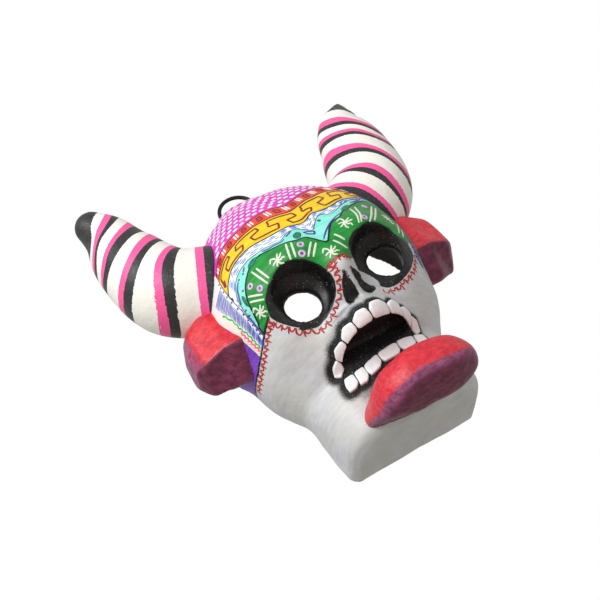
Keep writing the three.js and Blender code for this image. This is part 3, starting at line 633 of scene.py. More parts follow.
SOCKET_RIGHT = [
    (6.9, -10), (7.9, -8.2), (10.4, -6.2), (13.2, -5.2), (16.1, -5.1), (19, -5.3), (22.4, -6.2), (26.2, -6.8),
    (29.8, -7.4), (32.3, -7.9), (36.2, -8.9), (40.6, -10.2), (44.2, -11.9), (46.2, -14.4), (45.2, -18.1),
    (41.2, -22.2), (37.1, -25.4), (33.1, -28), (28.7, -29.9), (23.9, -30.8), (20.1, -30.8), (18, -29.9),
    (18.2, -27.0), (16.9, -24.0), (13.6, -20.2), (9.4, -17.2), (6.4, -15.2), (6.0, -12.9)]
NOSE_LINE = [(-6.7, -15.3), (-5.4, -14.1), (-3.8, -13.7), (-2, -13.6), (0, -13.7), (1.9, -13.8), (3.3, -14.8),
             (5.2, -15.6)]


def smooth_line(line, per=4):
    """A rounded line through the drawn points."""
    line = np.asarray(line, float)
    points = np.concatenate([[2 * line[0] - line[1]], line, [2 * line[-1] - line[-2]]])
    made = []
    for i in range(len(line) - 1):
        p0, p1, p2, p3 = points[i:i + 4]
        for k in range(per):
            t = k / per
            made.append(0.5 * (2 * p1 + (p2 - p0) * t + (2 * p0 - 5 * p1 + 4 * p2 - p3) * t * t
                               + (3 * p1 - p0 - 3 * p2 + p3) * t ** 3))
    made.append(line[-1])
    return np.array(made)


def smooth_loop(line, per=4):
    wrapped = smooth_line([line[-1], *line, line[0], line[1]], per)
    return wrapped[per:-2 * per]


def bearings(points):
    """Turn and rise in degrees, and the distance from the middle in millimetres."""
    away = points - PAINT_CENTRE
    level = np.hypot(away[:, 0], away[:, 1])
    turn = np.degrees(np.arctan2(away[:, 0], -away[:, 1]))
    return turn, np.degrees(np.arctan2(away[:, 2], level)), np.linalg.norm(away, axis=1)


def line_distance(turn, rise, reach, line):
    """Millimetres over the skin from each point to a drawn line."""
    narrow = np.cos(np.radians(rise))
    best = np.full(len(turn), 1e9)
    for (a, b), (c, d) in zip(line[:-1], line[1:]):
        u0, v0 = (a - turn) * narrow, b - rise
        du, dv = (c - a) * narrow, d - b
        t = np.clip(-(u0 * du + v0 * dv) / (du * du + dv * dv + 1e-12), 0, 1)
        best = np.minimum(best, (u0 + t * du) ** 2 + (v0 + t * dv) ** 2)
    return np.sqrt(best) * np.radians(reach)


def inside(turn, rise, polygon):
    odd = np.zeros(len(turn), bool)
    for (a, b), (c, d) in zip(polygon, np.roll(polygon, -1, axis=0)):
        crosses = (b > rise) != (d > rise)
        odd ^= crosses & (turn < a + (rise - b) * (c - a) / (d - b + 1e-12))
    return odd


FIELD_REACH = 8.0


def field(place, line, closing=()):
    """Distance to a drawn line, above nought on the side that the closing points take in."""
    turn, rise, reach = place
    line = np.asarray(line, float)
    polygon = np.concatenate([line, np.asarray(closing, float).reshape(-1, 2)])
    edge = line if len(closing) else np.concatenate([line, line[:1]])
    distance = np.clip(line_distance(turn, rise, reach, edge), 0, FIELD_REACH)
    return np.where(inside(turn, rise, polygon), distance, -distance)


points = coordinates(head)
place = bearings(points)
turn, rise, reach = place
for label, edge in (("crown", CROWN_EDGE), ("red", RED_EDGE), ("yellow", YELLOW_EDGE), ("white", WHITE_EDGE),
                    ("turquoise", TURQUOISE_EDGE)):
    ends = [(200, edge[-1][1]), (200, 100), (-200, 100), (-200, edge[0][1])]
    set_attribute(head, label, field(place, smooth_line(edge), ends))
painted_edge = [*JAW_LINE[::-1], (-22, -17), *NOSE_LINE, (25, -18), (44.2, -11.9), *JAW_LINE_RIGHT]
set_attribute(head, "painted", field(place, painted_edge, [(130, -20), (130, 100), (-130, 100), (-130, -27)]))
green_edge = [*TURQUOISE_EDGE[1:-1], (47.6, -10), (44.2, -11.9), (25, -18), *NOSE_LINE[::-1], (-22, -17),
              (-37.9, -15.3)]
set_attribute(head, "green", field(place, green_edge))

mirror_turn = np.where(turn > 0, SIDE_SHIFT - turn, turn)
side_place = (mirror_turn, rise, reach)
temple_left = [(-130, 22), *TEMPLE_FRONT, *JAW_LINE[1:], (-130, -27)]
temple_right = [(SIDE_SHIFT - a, b) for a, b in TEMPLE_FRONT if b > -9] + JAW_LINE_RIGHT[1:] + [(130, -20), (130, 22)]
temple = np.maximum(field(place, temple_left), field(place, temple_right))
set_attribute(head, "temple", temple)
set_attribute(head, "wavy", field(side_place, smooth_line(WAVY_EDGE), [(-200, -30), (-200, 30)]))
set_attribute(head, "violet", field(side_place, VIOLET_EDGE, [(-200, -30), (-200, 12)]))
set_attribute(head, "jaw", np.minimum(line_distance(turn, rise, reach, JAW_LINE),
                                      line_distance(turn, rise, reach, JAW_LINE_RIGHT)))

SOCKET_TOUCH, BLACK_INSET, NOSTRIL_INSET = 0.65, 0.35, 0.45
socket_field = np.full(len(points), -9.0)
for outline, tool_tree in ((SOCKET_LEFT, SOCKET_TREES[0]), (SOCKET_RIGHT, SOCKET_TREES[1])):
    drawn = field(place, smooth_loop(outline))
    # A thin ridge beside the nose stays grey between the right socket and the nostril
    ridge = (turn > 0) & (turn < 19) & (rise < -15)
    carved = np.minimum(SOCKET_TOUCH - distances(tool_tree, points, 6), np.where(ridge, drawn + 0.3, 9.0))
    socket_field = np.maximum(socket_field, np.maximum(drawn - BLACK_INSET, carved))
set_attribute(head, "socket", socket_field)
nostril_gap = np.minimum(*(distances(t, points, 6) for t in NOSTRIL_TREES))
drops = np.maximum(*(field(place, smooth_loop(outline)) for outline in (NOSTRIL_LEFT, NOSTRIL_RIGHT)))
set_attribute(head, "nostril", np.maximum(drops - NOSTRIL_INSET, np.minimum(0.2 - nostril_gap, drops + 0.2)))
set_attribute(head, "nose_line", line_distance(turn, rise, reach, NOSE_LINE))
tooth_gap = np.min([distances(tree_of(tile), points, 9) for tile, _ in teeth], axis=0)
mouth_gap = np.minimum(tooth_gap, distances(MOUTH_TREE, points, 9))
# Black inside the mouth, and painted shade round the mouth's edge and the teeth: it fades out over this far on the
# right and on the left, and thickens at the left corner
MOUTH_SHADE_RIGHT, MOUTH_SHADE_LEFT, MOUTH_SHADE_CORNER = 3.3, 6.5, (-24.0, -50.0, up(30.0))
fade = MOUTH_SHADE_RIGHT + (MOUTH_SHADE_LEFT - MOUTH_SHADE_RIGHT) * smoothstep(-points[:, 0], -10, 14)
corner = np.linalg.norm(points - np.array(MOUTH_SHADE_CORNER), axis=1)
mouth_shade = np.maximum(1 - smoothstep(mouth_gap, 0.2, fade), 0.9 * (1 - smoothstep(corner, 3.0, 9.0)))
set_attribute(head, "mouth", mouth_shade)
# Inside the hollow the clay is coloured near black: painted shade, so the hollow looks dark through the eye holes
INSIDE_SHADE_REACH, BARE_RIM = 1.3, 0.9
set_attribute(head, "inside", INSIDE_SHADE_REACH - distances(HOLLOW_TREE, points, 6))
set_attribute(head, "bare", points[:, 1] + BARE_RIM)


def convex(obj):
    """How far each point stands out from its neighbours, in millimetres, with the normals."""
    pairs = np.empty(len(obj.data.edges) * 2, int)
    obj.data.edges.foreach_get("vertices", pairs)
    pairs = pairs.reshape(-1, 2)
    points = coordinates(obj)
    total, count = np.zeros_like(points), np.zeros(len(points))
    for a, b in ((0, 1), (1, 0)):
        np.add.at(total, pairs[:, a], points[pairs[:, b]])
        np.add.at(count, pairs[:, a], 1)
    normals = point_values(obj, "normal")
    bulge = ((points - total / count[:, None]) * normals).sum(1)
    for _ in range(2):
        total = np.zeros(len(points))
        for a, b in ((0, 1), (1, 0)):
            np.add.at(total, pairs[:, a], bulge[pairs[:, b]])
        bulge = 0.5 * bulge + 0.5 * total / count
    return bulge, normals


# Paints and finishes
STREAKS = (0.3, 0.7)
SCRUBS = (0.35, 0.65)
BRUSHED_EDGE = (-0.12, 0.12)
SOFT_EDGE = (-0.2, 0.2)
SMOOTH = {"interpolation_type": "SMOOTHSTEP"}


def linear(code):
    """A paint colour written as on screen, as the linear values that the shader uses."""
    values = [int(code[i:i + 2], 16) / 255 for i in (1, 3, 5)]
    return [v / 12.92 if v <= 0.04045 else ((v + 0.055) / 1.055) ** 2.4 for v in values] + [1.0]


def add(tree, kind, *values, out=0, inputs=None, **settings):
    """Adds a node with its settings, links or sets its inputs, and gives back one of its outputs."""
    made = tree.nodes.new(kind if "Node" in kind else "ShaderNode" + kind)
    for key, value in settings.items():
        setattr(made, key, value)
    for key, value in [*enumerate(values), *(inputs or {}).items()]:
        if isinstance(value, bpy.types.NodeSocket):
            tree.links.new(value, made.inputs[key])
        else:
            made.inputs[key].default_value = linear(value) if str(value).startswith("#") else value
    return made.outputs[out] if len(made.outputs) else None


def new_material(name, roughness, metallic=0.0, ior=1.5):
    """A material and its tree, with the values that are the same all over."""
    material = bpy.data.materials.new(name)
    material.use_nodes = True
    inputs = material.node_tree.nodes["Principled BSDF"].inputs
    inputs["Roughness"].default_value = roughness
    inputs["Metallic"].default_value = metallic
    if metallic == 0:
        inputs["IOR"].default_value = ior
    return material, material.node_tree


def grain(tree, size, stretch=(1, 1, 1), detail=2.0, rough=0.5):
    """Soft noise with features of the given size in millimetres, drawn out along one way like brush marks."""
    place = add(tree, "TexCoord", out="Object")
    scaled = add(tree, "VectorMath", place, tuple(1 / (MM * size * s) for s in stretch), operation="MULTIPLY")
    return add(tree, "TexNoise", out="Fac",
               inputs={"Vector": scaled, "Scale": 1.0, "Detail": detail, "Roughness": rough})


def edge_of(tree, name, wander):
    """Millimetres past a drawn edge, as the hand and the brush wander over it."""
    return add(tree, "Math", add(tree, "Attribute", out="Fac", attribute_name=name), wander, operation="ADD")


def coat(tree, below, above, mask, low, high, least=0.0, most=1.0):
    """Lays one paint over another, thin to thick as a value passes from low to high."""
    share = add(tree, "MapRange", mask, low, high, least, most, **SMOOTH)
    return add(tree, "Mix", out=2, inputs={0: share, 6: below, 7: above}, data_type="RGBA")


def finish(tree, colour, roughness, *layers):
    """Gives the shader its colour, its roughness, and its relief from heights in millimetres."""
    inputs = tree.nodes["Principled BSDF"].inputs
    tree.links.new(colour, inputs["Base Color"])
    if roughness is not None:
        tree.links.new(roughness, inputs["Roughness"])
    below = {}
    for height, depth in layers:
        normal = add(tree, "Bump", inputs={"Height": height, "Distance": depth * MM, "Strength": 1.0, **below})
        below = {"Normal": normal}
    tree.links.new(normal, inputs["Normal"])


def dress(obj, material):
    obj.data.materials.clear()
    obj.data.materials.append(material)


# Every coat over the grey, from the brow upwards: the drawn edge that it starts at, and its paint thin and thick
COATS = [("green", "#06802A", "#0FA03A"), ("turquoise", "#77E6D2", "#9BF5E6"), ("white", "#F4F6FA", "#FFFFFF"),
         ("yellow", "#F2C400", "#FFDD1C"), ("red", "#E63A30", "#F6523F"), ("crown", "#D928B8", "#F247CF")]
# The fine lines between the coats: half a width in millimetres, and the paint
OUTLINES = [("turquoise", 0.5, "#0A1410"), ("white", 0.26, "#4A3028"), ("yellow", 0.4, "#101010"),
            ("red", 0.42, "#101010"), ("crown", 0.42, "#101010")]


def painted_clay():
    """Low-fired clay with brushed satin acrylic: even coats with drag marks, a wavering edge where two paints meet."""
    material, tree = new_material("brushed acrylic on fired clay", 0.42)
    streak = grain(tree, 1.6, (5, 5, 1), 3.0)
    cloud = grain(tree, 14.0)
    fine = grain(tree, 0.5)
    waver = add(tree, "Math", grain(tree, 1.8), 0.5, -0.25, operation="MULTIPLY_ADD")
    dry = add(tree, "Math", grain(tree, 0.7, detail=3.0, rough=0.7), 0.7, -0.35, operation="MULTIPLY_ADD")
    inside = add(tree, "Attribute", out="Fac", attribute_name="inside")
    bare = add(tree, "Attribute", out="Fac", attribute_name="bare")

    grey = coat(tree, "#C8C9CE", "#D8D9DE", streak, 0.25, 0.75)
    grey = coat(tree, grey, "#CDCCC1", cloud, 0.35, 0.7, most=0.5)
    colour = coat(tree, grey, "#6A6A66", grain(tree, 1.1, detail=0.0), 0.765, 0.8, most=0.55)
    for name, low, high in COATS:
        colour = coat(tree, colour, coat(tree, low, high, streak, *STREAKS), edge_of(tree, name, waver), *BRUSHED_EDGE)
    for name, half, shade in OUTLINES:
        gap = add(tree, "Math", edge_of(tree, name, waver), operation="ABSOLUTE")
        colour = coat(tree, colour, shade, gap, half + BRUSHED_EDGE[0], half + BRUSHED_EDGE[1], 1.0, 0.0)
    # The coats run on over the temples and below the green, so the temples and the grey are laid again
    side = coat(tree, "#F2F3FA", "#FBF4EC", edge_of(tree, "wavy", waver), *BRUSHED_EDGE)
    violet = coat(tree, "#7438BE", "#8A52D2", streak, *STREAKS)
    side = coat(tree, side, violet, edge_of(tree, "violet", waver), *BRUSHED_EDGE)
    colour = coat(tree, colour, side, edge_of(tree, "temple", waver), *BRUSHED_EDGE)
    colour = coat(tree, grey, colour, edge_of(tree, "painted", waver), *BRUSHED_EDGE)
    # Black: brushed lines, the sockets and nostrils, the inside of the mouth, and painted shade round the mouth and
    # teeth with a grainy edge
    black = coat(tree, "#060607", "#1A1A1B", grain(tree, 0.9, (1, 1, 2.5)), 0.5, 0.75)
    # Pale grey flecks at random over the black: painted glints of light on the brush marks
    black = coat(tree, black, "#A9A9A4", grain(tree, 0.7, detail=1.0), 0.68, 0.74, most=0.6)
    # The mouth's black and the painted shade round it, with an uneven edge
    mouth_shade = add(tree, "MapRange", edge_of(tree, "mouth", dry), 0.05, 0.8, **SMOOTH)
    dark = mouth_shade
    for name, *span in (("jaw", 0.45, 0.75, 1.0, 0.0), ("nose_line", 0.35, 0.6, 1.0, 0.0), ("socket", -0.15, 0.15),
                        ("nostril", -0.15, 0.15)):
        mask = add(tree, "MapRange", edge_of(tree, name, waver), *span, **SMOOTH)
        dark = add(tree, "Math", dark, mask, operation="MAXIMUM")
    colour = add(tree, "Mix", out=2, inputs={0: dark, 6: colour, 7: black}, data_type="RGBA")
    # Painted shade: the hollow's inside is coloured near black, so it looks dark through the eye holes
    colour = coat(tree, colour, coat(tree, "#1E1A18", "#38302B", cloud, *STREAKS), inside, *SOFT_EDGE)
    clay = coat(tree, "#A9623F", "#BE7A55", streak, *STREAKS)
    colour = coat(tree, colour, clay, edge_of(tree, "bare", waver), -0.3, 0.3)
    # Satin where brushed; matte on bare clay, on the black and the painted shade round the mouth, and inside
    matte = add(tree, "MapRange", fine, *STREAKS, 0.36, 0.5, **SMOOTH)
    for dull, rough in ((add(tree, "MapRange", bare, *SOFT_EDGE, **SMOOTH), 0.4), (mouth_shade, 0.25),
                        (add(tree, "MapRange", inside, *SOFT_EDGE, **SMOOTH), 0.45)):
        matte = add(tree, "Math", dull, rough, matte, operation="MULTIPLY_ADD")
    finish(tree, colour, matte, (streak, 0.07), (grain(tree, 3.5), 0.22), (fine, 0.05))
    return material


# Each stripe's edge as lengths along the horn: outside the bend, near it, on the flank, inside the bend
STRIPE_SIDES = (-1, -0.6, 0, 1)
STRIPE_EDGES = {
    -1: [(8.8, 9.1, 8.7, 8.2), (12.5, 12.6, 12.5, 12.2), (20, 21.1, 23, 25), (22.5, 24.5, 28.6, 34),
         (25, 27.1, 31.9, 38.5), (32.5, 34.8, 39.3, 46.5), (36.5, 39.4, 43.2, 49.5), (39.5, 42.7, 47.8, 56),
         (48.5, 51.6, 54.8, 60), (52.5, 56.8, 61.1, 68), (54.5, 59, 64.3, 72), (57, 67, 70.6, 75.5),
         (59.5, 69.4, 73.4, 79), (62, 74.9, 77.6, 81.5), (66, 80, 82.4, 84.5)],
    1: [(12, 11, 10, 3), (14, 13.2, 13, 6), (18.5, 19.3, 20.8, 22), (19.5, 21, 25, 27), (21.5, 23.5, 28.5, 32),
        (26, 29.3, 37.5, 46.6), (28, 31, 41, 50.5), (30, 33.3, 44.5, 56), (41, 44.2, 54, 64), (43.5, 46.5, 57, 67),
        (46, 49.5, 60, 69), (50, 54, 65, 72.3), (53, 58, 68.5, 74), (56, 61.5, 73, 77), (76, 78, 80.9, 81.5)],
}
HORN_END = 110
STRIPE_ORDER = ("black", "pink", "white") * 5 + ("black",)
STRIPE_PAINTS = {"black": "#2C2C2D", "pink": "#FF5FA4", "white": "#FBF8F0"}


def striped_horn():
    """Brushed satin acrylic in rings: dry bristle marks show grey in the black, and each ring's edge wavers."""
    material, tree = new_material("striped acrylic on fired clay", 0.42)
    streak = grain(tree, 1.2, (1, 3, 1), 3.0, 0.6)
    waver = add(tree, "Math", grain(tree, 4.0), 0.08, -0.04, operation="MULTIPLY_ADD")
    share = add(tree, "Math", edge_of(tree, "stripe", waver), float(len(STRIPE_ORDER)), operation="DIVIDE")
    rings = add(tree, "ValToRGB", share)
    ramp = rings.node.color_ramp
    ramp.interpolation = "CONSTANT"
    for index, paint in enumerate(STRIPE_ORDER):
        stop = ramp.elements[0] if index == 0 else ramp.elements.new(index / len(STRIPE_ORDER))
        stop.color = linear(STRIPE_PAINTS[paint])
    ramp.elements.remove(ramp.elements[-1])
    colour = coat(tree, rings, "#B8B6AE", streak, 0.55, 0.8, most=0.22)
    gloss = add(tree, "MapRange", streak, *STREAKS, 0.36, 0.5, **SMOOTH)
    finish(tree, colour, gloss, (streak, 0.12), (grain(tree, 4.0), 0.35), (grain(tree, 0.5), 0.05))
    return material


def shaded_red(name, size):
    """Two acrylics scrubbed together wet: red on faces that look up, purple on faces turned out; painted shade in a
    darker maroon on faces that look down, a painted pink highlight on convex ridges.
    """
    material, tree = new_material(name, 0.4)
    scrub = grain(tree, size, (1.6, 1, 1), 4.0, 0.65)
    dots = grain(tree, 0.9, detail=3.0)
    mixed = add(tree, "Math", scrub, 0.36, -0.18, operation="MULTIPLY_ADD")
    ridge_highlight_wander = add(tree, "Math", dots, 0.1, -0.05, operation="MULTIPLY_ADD")
    colour = coat(tree, "#C81E30", "#E83442", scrub, *SCRUBS)
    for name, low, high, *span in (("outer", "#7C3560", "#A85A80", -0.12, 0.16),
                                   ("shaded_underside", "#5E1836", "#803254", -0.1, 0.14)):
        colour = coat(tree, colour, coat(tree, low, high, scrub, *SCRUBS), edge_of(tree, name, mixed), *span)
    # Pink along convex ridges: a painted highlight
    colour = coat(tree, colour, "#C06A86", edge_of(tree, "edge", ridge_highlight_wander), 0.035, 0.1, most=0.6)
    gloss = add(tree, "MapRange", dots, *STREAKS, 0.3, 0.5, **SMOOTH)
    finish(tree, colour, gloss, (scrub, 0.35), (dots, 0.12))
    return material


def tooth_paint():
    """Thick white acrylic on clay tiles: nearly even, with faint grey drag marks and a soft gloss."""
    material, tree = new_material("white acrylic on clay tiles", 0.34)
    streak = grain(tree, 1.4, (1, 1, 3), 3.0)
    gloss = add(tree, "MapRange", streak, *STREAKS, 0.3, 0.42, **SMOOTH)
    finish(tree, coat(tree, "#FDFDFF", "#EDEFF5", streak, 0.45, 0.8), gloss, (streak, 0.1), (grain(tree, 0.5), 0.04))
    return material


def annealed_wire():
    """Soft iron wire, drawn and annealed: dark oxide with fine lengthwise die marks and a few brighter rubs."""
    material, tree = new_material("annealed iron wire", 0.5, 0.7)
    rub = grain(tree, 1.5, detail=4.0, rough=0.7)
    gloss = add(tree, "MapRange", rub, 0.3, 0.8, 0.55, 0.38, **SMOOTH)
    finish(tree, coat(tree, "#2B2B29", "#5A5752", rub, 0.5, 0.8), gloss, (rub, 0.05))
    return material


def stroke_paint(name, low, high):
    """A fine brush's acrylic line: thicker than the coat below, so it catches a little light; its tone varies."""
    material, tree = new_material(name, 0.4)
    finish(tree, coat(tree, low, high, grain(tree, 1.3, detail=3.0), *SCRUBS), None, (grain(tree, 0.4), 0.03))
    return material


def studio_floor():
    """Matte card: white to the camera, and darker to the light it throws back up on the piece."""
    material, tree = new_material("matte card", 0.8)
    seen = add(tree, "LightPath", out="Is Camera Ray")
    tone = add(tree, "Mix", out=2, inputs={0: seen, 6: "#B9B6AE", 7: "#F4F4F4"}, data_type="RGBA")
    tree.links.new(tone, tree.nodes["Principled BSDF"].inputs["Base Color"])
    return material


# Pieces onto the frame


def hand_in(obj, slot, *nodes):
    """Fixes a piece to the part's one body, in place of its nodes; the slot argument is not used."""
    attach(obj, "root")
    if nodes:
        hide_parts(*nodes)


dress(head, painted_clay())
hand_in(head, "skull_paint", "head_shell")


BATCH, SKIP = 4000, 4


def along_horn(points):
    """Length from the root, and how far into the bend a point lies, from -1 outside it to 1 inside it."""
    nearest = np.empty(len(points), int)
    for begin in range(0, len(points), BATCH):
        away = points[begin:begin + BATCH, None] - HORN_LINE[None, ::SKIP]
        nearest[begin:begin + BATCH] = np.argmin((away ** 2).sum(-1), axis=1) * SKIP
    away = points - HORN_LINE[nearest]
    along = HORN_LENGTHS[nearest] + (away * HORN_TANGENTS[nearest]).sum(1)
    inward = np.cross(HORN_TANGENTS, np.array([0, 1.0, 0]))[nearest]
    return along, (away * inward).sum(1) / np.linalg.norm(away, axis=1)


stripes = striped_horn()
for horn, node_name, sign in horns:
    along, side = along_horn(coordinates(horn) * np.array([sign, 1, 1]))
    count = np.zeros(len(along))
    sides = np.linspace(-1, 1, 41)
    bowed = [0 * along]
    for row in [*STRIPE_EDGES[sign], (HORN_END,) * 4]:
        level = np.pad(np.interp(sides, STRIPE_SIDES, row), 4, mode="reflect", reflect_type="odd")
        bowed.append(np.interp(side, sides, np.convolve(level, np.ones(9) / 9, mode="valid")))
    for start, end in zip(bowed[:-1], bowed[1:]):
        count += np.clip((along - start) / np.maximum(end - start, 0.3), 0, 1)
    set_attribute(horn, "stripe", count)
    dress(horn, stripes)
    hand_in(horn, "horn_paint", node_name)

# Brush strokes laid over the coats
LIFT = 0.07
BRISTLES = 8
WELL_OUTSIDE = 160


def skin_towards(way, centre=Vector(PAINT_CENTRE)):
    """The point of the finished head that lies this way from a point inside it, and its normal."""
    return HEAD_TREE.ray_cast(centre + way * WELL_OUTSIDE, -way)[:2]


def surface(turn, rise):
    """The point of the finished head that a drawn bearing falls on."""
    a, b = math.radians(turn), math.radians(rise)
    return skin_towards(Vector((math.sin(a) * math.cos(b), -math.cos(a) * math.cos(b), math.sin(b))))[0]


def brush_tree():
    """Sweeps a flattened brush tip along drawn lines, wider where the brush carries more load."""
    tree = bpy.data.node_groups.new("brush_strokes", "GeometryNodeTree")
    for label, kind in (("Geometry", "Geometry"), ("Brush scale", "Float"), ("Paint thickness share", "Float"),
                        ("Paint", "Material")):
        tree.interface.new_socket(label, in_out="INPUT", socket_type="NodeSocket" + kind)
    tree.interface.new_socket("Geometry", in_out="OUTPUT", socket_type="NodeSocketGeometry")
    start = add(tree, "NodeGroupInput").node.outputs
    facing, load = (add(tree, "GeometryNodeInputNamedAttribute", name, out="Attribute", data_type=kind)
                    for name, kind in (("facing", "FLOAT_VECTOR"), ("load", "FLOAT")))
    line = add(tree, "GeometryNodeMeshToCurve", start["Geometry"])
    turned = add(tree, "GeometryNodeSetCurveNormal", inputs={"Curve": line, "Normal": facing}, mode="FREE")
    tip = add(tree, "GeometryNodeCurvePrimitiveCircle", inputs={"Resolution": BRISTLES, "Radius": 1.0})
    flatness = add(tree, "CombineXYZ", start["Paint thickness share"], 1.0, 1.0)
    flat = add(tree, "GeometryNodeTransform", inputs={"Geometry": tip, "Scale": flatness})
    width = add(tree, "Math", load, start["Brush scale"], operation="MULTIPLY")
    swept = add(tree, "GeometryNodeCurveToMesh", inputs={"Curve": turned, "Profile Curve": flat, "Scale": width,
                                                         "Fill Caps": True})
    real = add(tree, "GeometryNodeRealizeInstances", swept)
    inked = add(tree, "GeometryNodeSetMaterial", inputs={"Geometry": real, "Material": start["Paint"]})
    add(tree, "NodeGroupOutput", inked)
    return tree


BRUSH = brush_tree()


STROKE_STEP = 0.55


def stroke(line, half, taper=0.3, closed=False):
    """A brush stroke: its bearings, its half width in millimetres, how it tapers at its ends, closed or not."""
    return np.asarray(line, float), half, taper, closed


def drawn(bearing, half, taper, closed, stops):
    """A stroke's points on the head, with the skin's normals and the brush's load."""
    if closed:
        bearing = np.concatenate([bearing, bearing[:1]])
    along = np.array([p for p in (surface(*b) for b in bearing) if p is not None])
    if len(along) < 2:
        return None
    along, share = spread(along, STROKE_STEP)
    made, facing = [], []
    for p in along:
        point, normal = skin_towards(Vector(unit(p - PAINT_CENTRE)))
        if point is None or any(covered(point, tree) for tree in COVERS):
            return None
        if stops and black_under(point) > 0:
            break
        made.append(np.array(point) + LIFT * np.array(normal))
        facing.append(np.array(normal))
    if len(made) < 2:
        return None
    share = share[:len(made)]
    load = half * (1 - taper * (np.abs(2 * share - 1)) ** 3)
    if closed:
        made, facing, load = made[:-1], facing[:-1], np.full(len(made) - 1, half)
    return np.array(made), np.array(facing), load


def black_under(point):
    """How far a point of the head lies inside the black of a socket, in millimetres."""
    if point is None:
        return -FIELD_REACH
    face = HEAD_TREE.find_nearest(point)[2]
    return socket_field[head.data.polygons[face].vertices[0]]


def covered(point, tree):
    """True under a horn or an ear."""
    hit = tree.find_nearest(point, 30)
    return hit[0] is not None and (point - hit[0]).dot(hit[1]) < 0


COVERS = [tree_of(o) for o in (*(h[0] for h in horns), ear, ear_left)]


def lay_strokes(name, strokes, paint, thickness):
    """One object for all the strokes of one paint."""
    points, facing, load, edges = [], [], [], []
    for mark in strokes:
        made = drawn(*mark, name != "red_stitches")
        if made is None:
            continue
        first = len(points)
        points += list(made[0])
        facing += list(made[1])
        load += list(made[2])
        edges += [(k, k + 1) for k in range(first, len(points) - 1)]
        if mark[3]:
            edges.append((len(points) - 1, first))
    mesh = bpy.data.meshes.new(name)
    mesh.from_pydata((np.array(points) * MM).tolist(), edges, [])
    obj = linked(name, mesh)
    layer = mesh.attributes.new("facing", "FLOAT_VECTOR", "POINT")
    layer.data.foreach_set("vector", np.array(facing).ravel())
    set_attribute(obj, "load", load)
    brush = obj.modifiers.new("brush", "NODES")
    brush.node_group = BRUSH
    values = {"Brush scale": MM, "Paint thickness share": thickness, "Paint": paint}
    for item in BRUSH.interface.items_tree:
        if item.name in values:
            brush[item.identifier] = values[item.name]
    bake(obj)
    hand_in(obj, "skull_paint")


DEG = 1.15


def hand(amount):
    """A small wander of the hand, in degrees."""
    return RNG.uniform(-amount, amount)


def sideways(line):
    """The way to the left of a drawn line at each of its points, and how narrow a degree of turn is there."""
    way = np.gradient(line, axis=0)
    narrow = np.cos(np.radians(line[:, 1]))
    way[:, 0] *= narrow
    way = unit(way)
    return np.stack([-way[:, 1], way[:, 0]], -1), narrow


def offset_line(line, distance):
    """A drawn line moved sideways, to the left of its way, by millimetres."""
    line = np.asarray(line, float)
    left, narrow = sideways(line)
    left[:, 0] /= narrow
    return line + left * distance / DEG


class Band:
    """The strip between two drawn lines, measured along in millimetres and across from 0 to 1."""

    def __init__(self, low, high, first, last):
        self.turns = np.arange(first, last, 0.25)
        self.low = np.interp(self.turns, *smooth_line(low).T)
        self.high = np.interp(self.turns, *smooth_line(high).T)
        middle = np.array([surface(t, (a + b) / 2) for t, a, b in zip(self.turns, self.low, self.high)])
        self.lengths = lengths_along(middle)
        self.length = self.lengths[-1]

    def at(self, along, across):
        turn = np.interp(along, self.lengths, self.turns)
        low, high = np.interp(turn, self.turns, self.low), np.interp(turn, self.turns, self.high)
        return turn, low + (high - low) * across


red_band = Band(RED_EDGE, CROWN_EDGE, -46, 46)
yellow_band = Band(YELLOW_EDGE, RED_EDGE, -46, 48)
white_band = Band(WHITE_EDGE, YELLOW_EDGE, -43.5, 46)

white_bars, dark_squares = [], []
MOTIF_STEP = 4.7
for k in range(int(red_band.length / MOTIF_STEP)):
    middle = 2.2 + MOTIF_STEP * k + hand(0.2)
    if k % 2 == 0:
        for shift in (-0.75, 0.75):
            white_bars.append(stroke([red_band.at(middle + shift + 0.3, 0.22),
                                      red_band.at(middle + shift - 0.3, 0.82)], 0.5))
    else:
        corners = [red_band.at(middle + a, b) for a, b in ((-1.1, 0.28), (1.1, 0.28), (1.1, 0.72), (-1.1, 0.72))]
        dark_squares.append(stroke(corners, 0.42, 0, True))
        dark_squares.append(stroke([red_band.at(middle - 0.35, 0.5), red_band.at(middle + 0.35, 0.5)], 0.3, 0.4))

FRET = [(0, 0.62), (0.04, 0.82), (0.70, 0.84), (0.75, 0.6), (0.47, 0.5), (0.52, 0.2), (1.15, 0.18), (1.22, 0.42),
        (0.97, 0.5), (1, 0.62)]
FRET_STEP = 19.0
frets = []
for k in range(-1, int(yellow_band.length / FRET_STEP) + 1):
    run = [(k * FRET_STEP + 2 + a * FRET_STEP + hand(0.3), b + hand(0.03)) for a, b in FRET]
    run = [place for place in run if 0.5 < place[0] < yellow_band.length - 0.5]
    for (a, b), (c, d) in zip(run[:-1], run[1:]):
        line = [yellow_band.at(a + (c - a) * t, b + (d - b) * t) for t in np.linspace(0, 1, 6)]
        frets.append(stroke(line, 0.52, 0.1))

dashes = []
for across in (0.2, 0.42, 0.62, 0.82):
    along = RNG.uniform(0, 3)
    while along < white_band.length - 4:
        length = RNG.uniform(2.2, 5.5)
        level = across + hand(0.05)
        dashes.append(stroke([white_band.at(along + length * t, level) for t in np.linspace(0, 1, 5)], 0.26, 0.6))
        along += length + RNG.uniform(1.0, 2.6)
edge_turns, edge_rises = np.array(WHITE_EDGE[6:0:-1]).T
for k in range(9):
    rise = 1.5 - 2.1 * k
    edge = np.interp(-rise, -edge_rises, edge_turns)
    dashes.append(stroke([(edge - 0.9 + hand(0.2), rise), (edge - 0.9 + hand(0.2), rise - 1.6)], 0.24, 0.6))

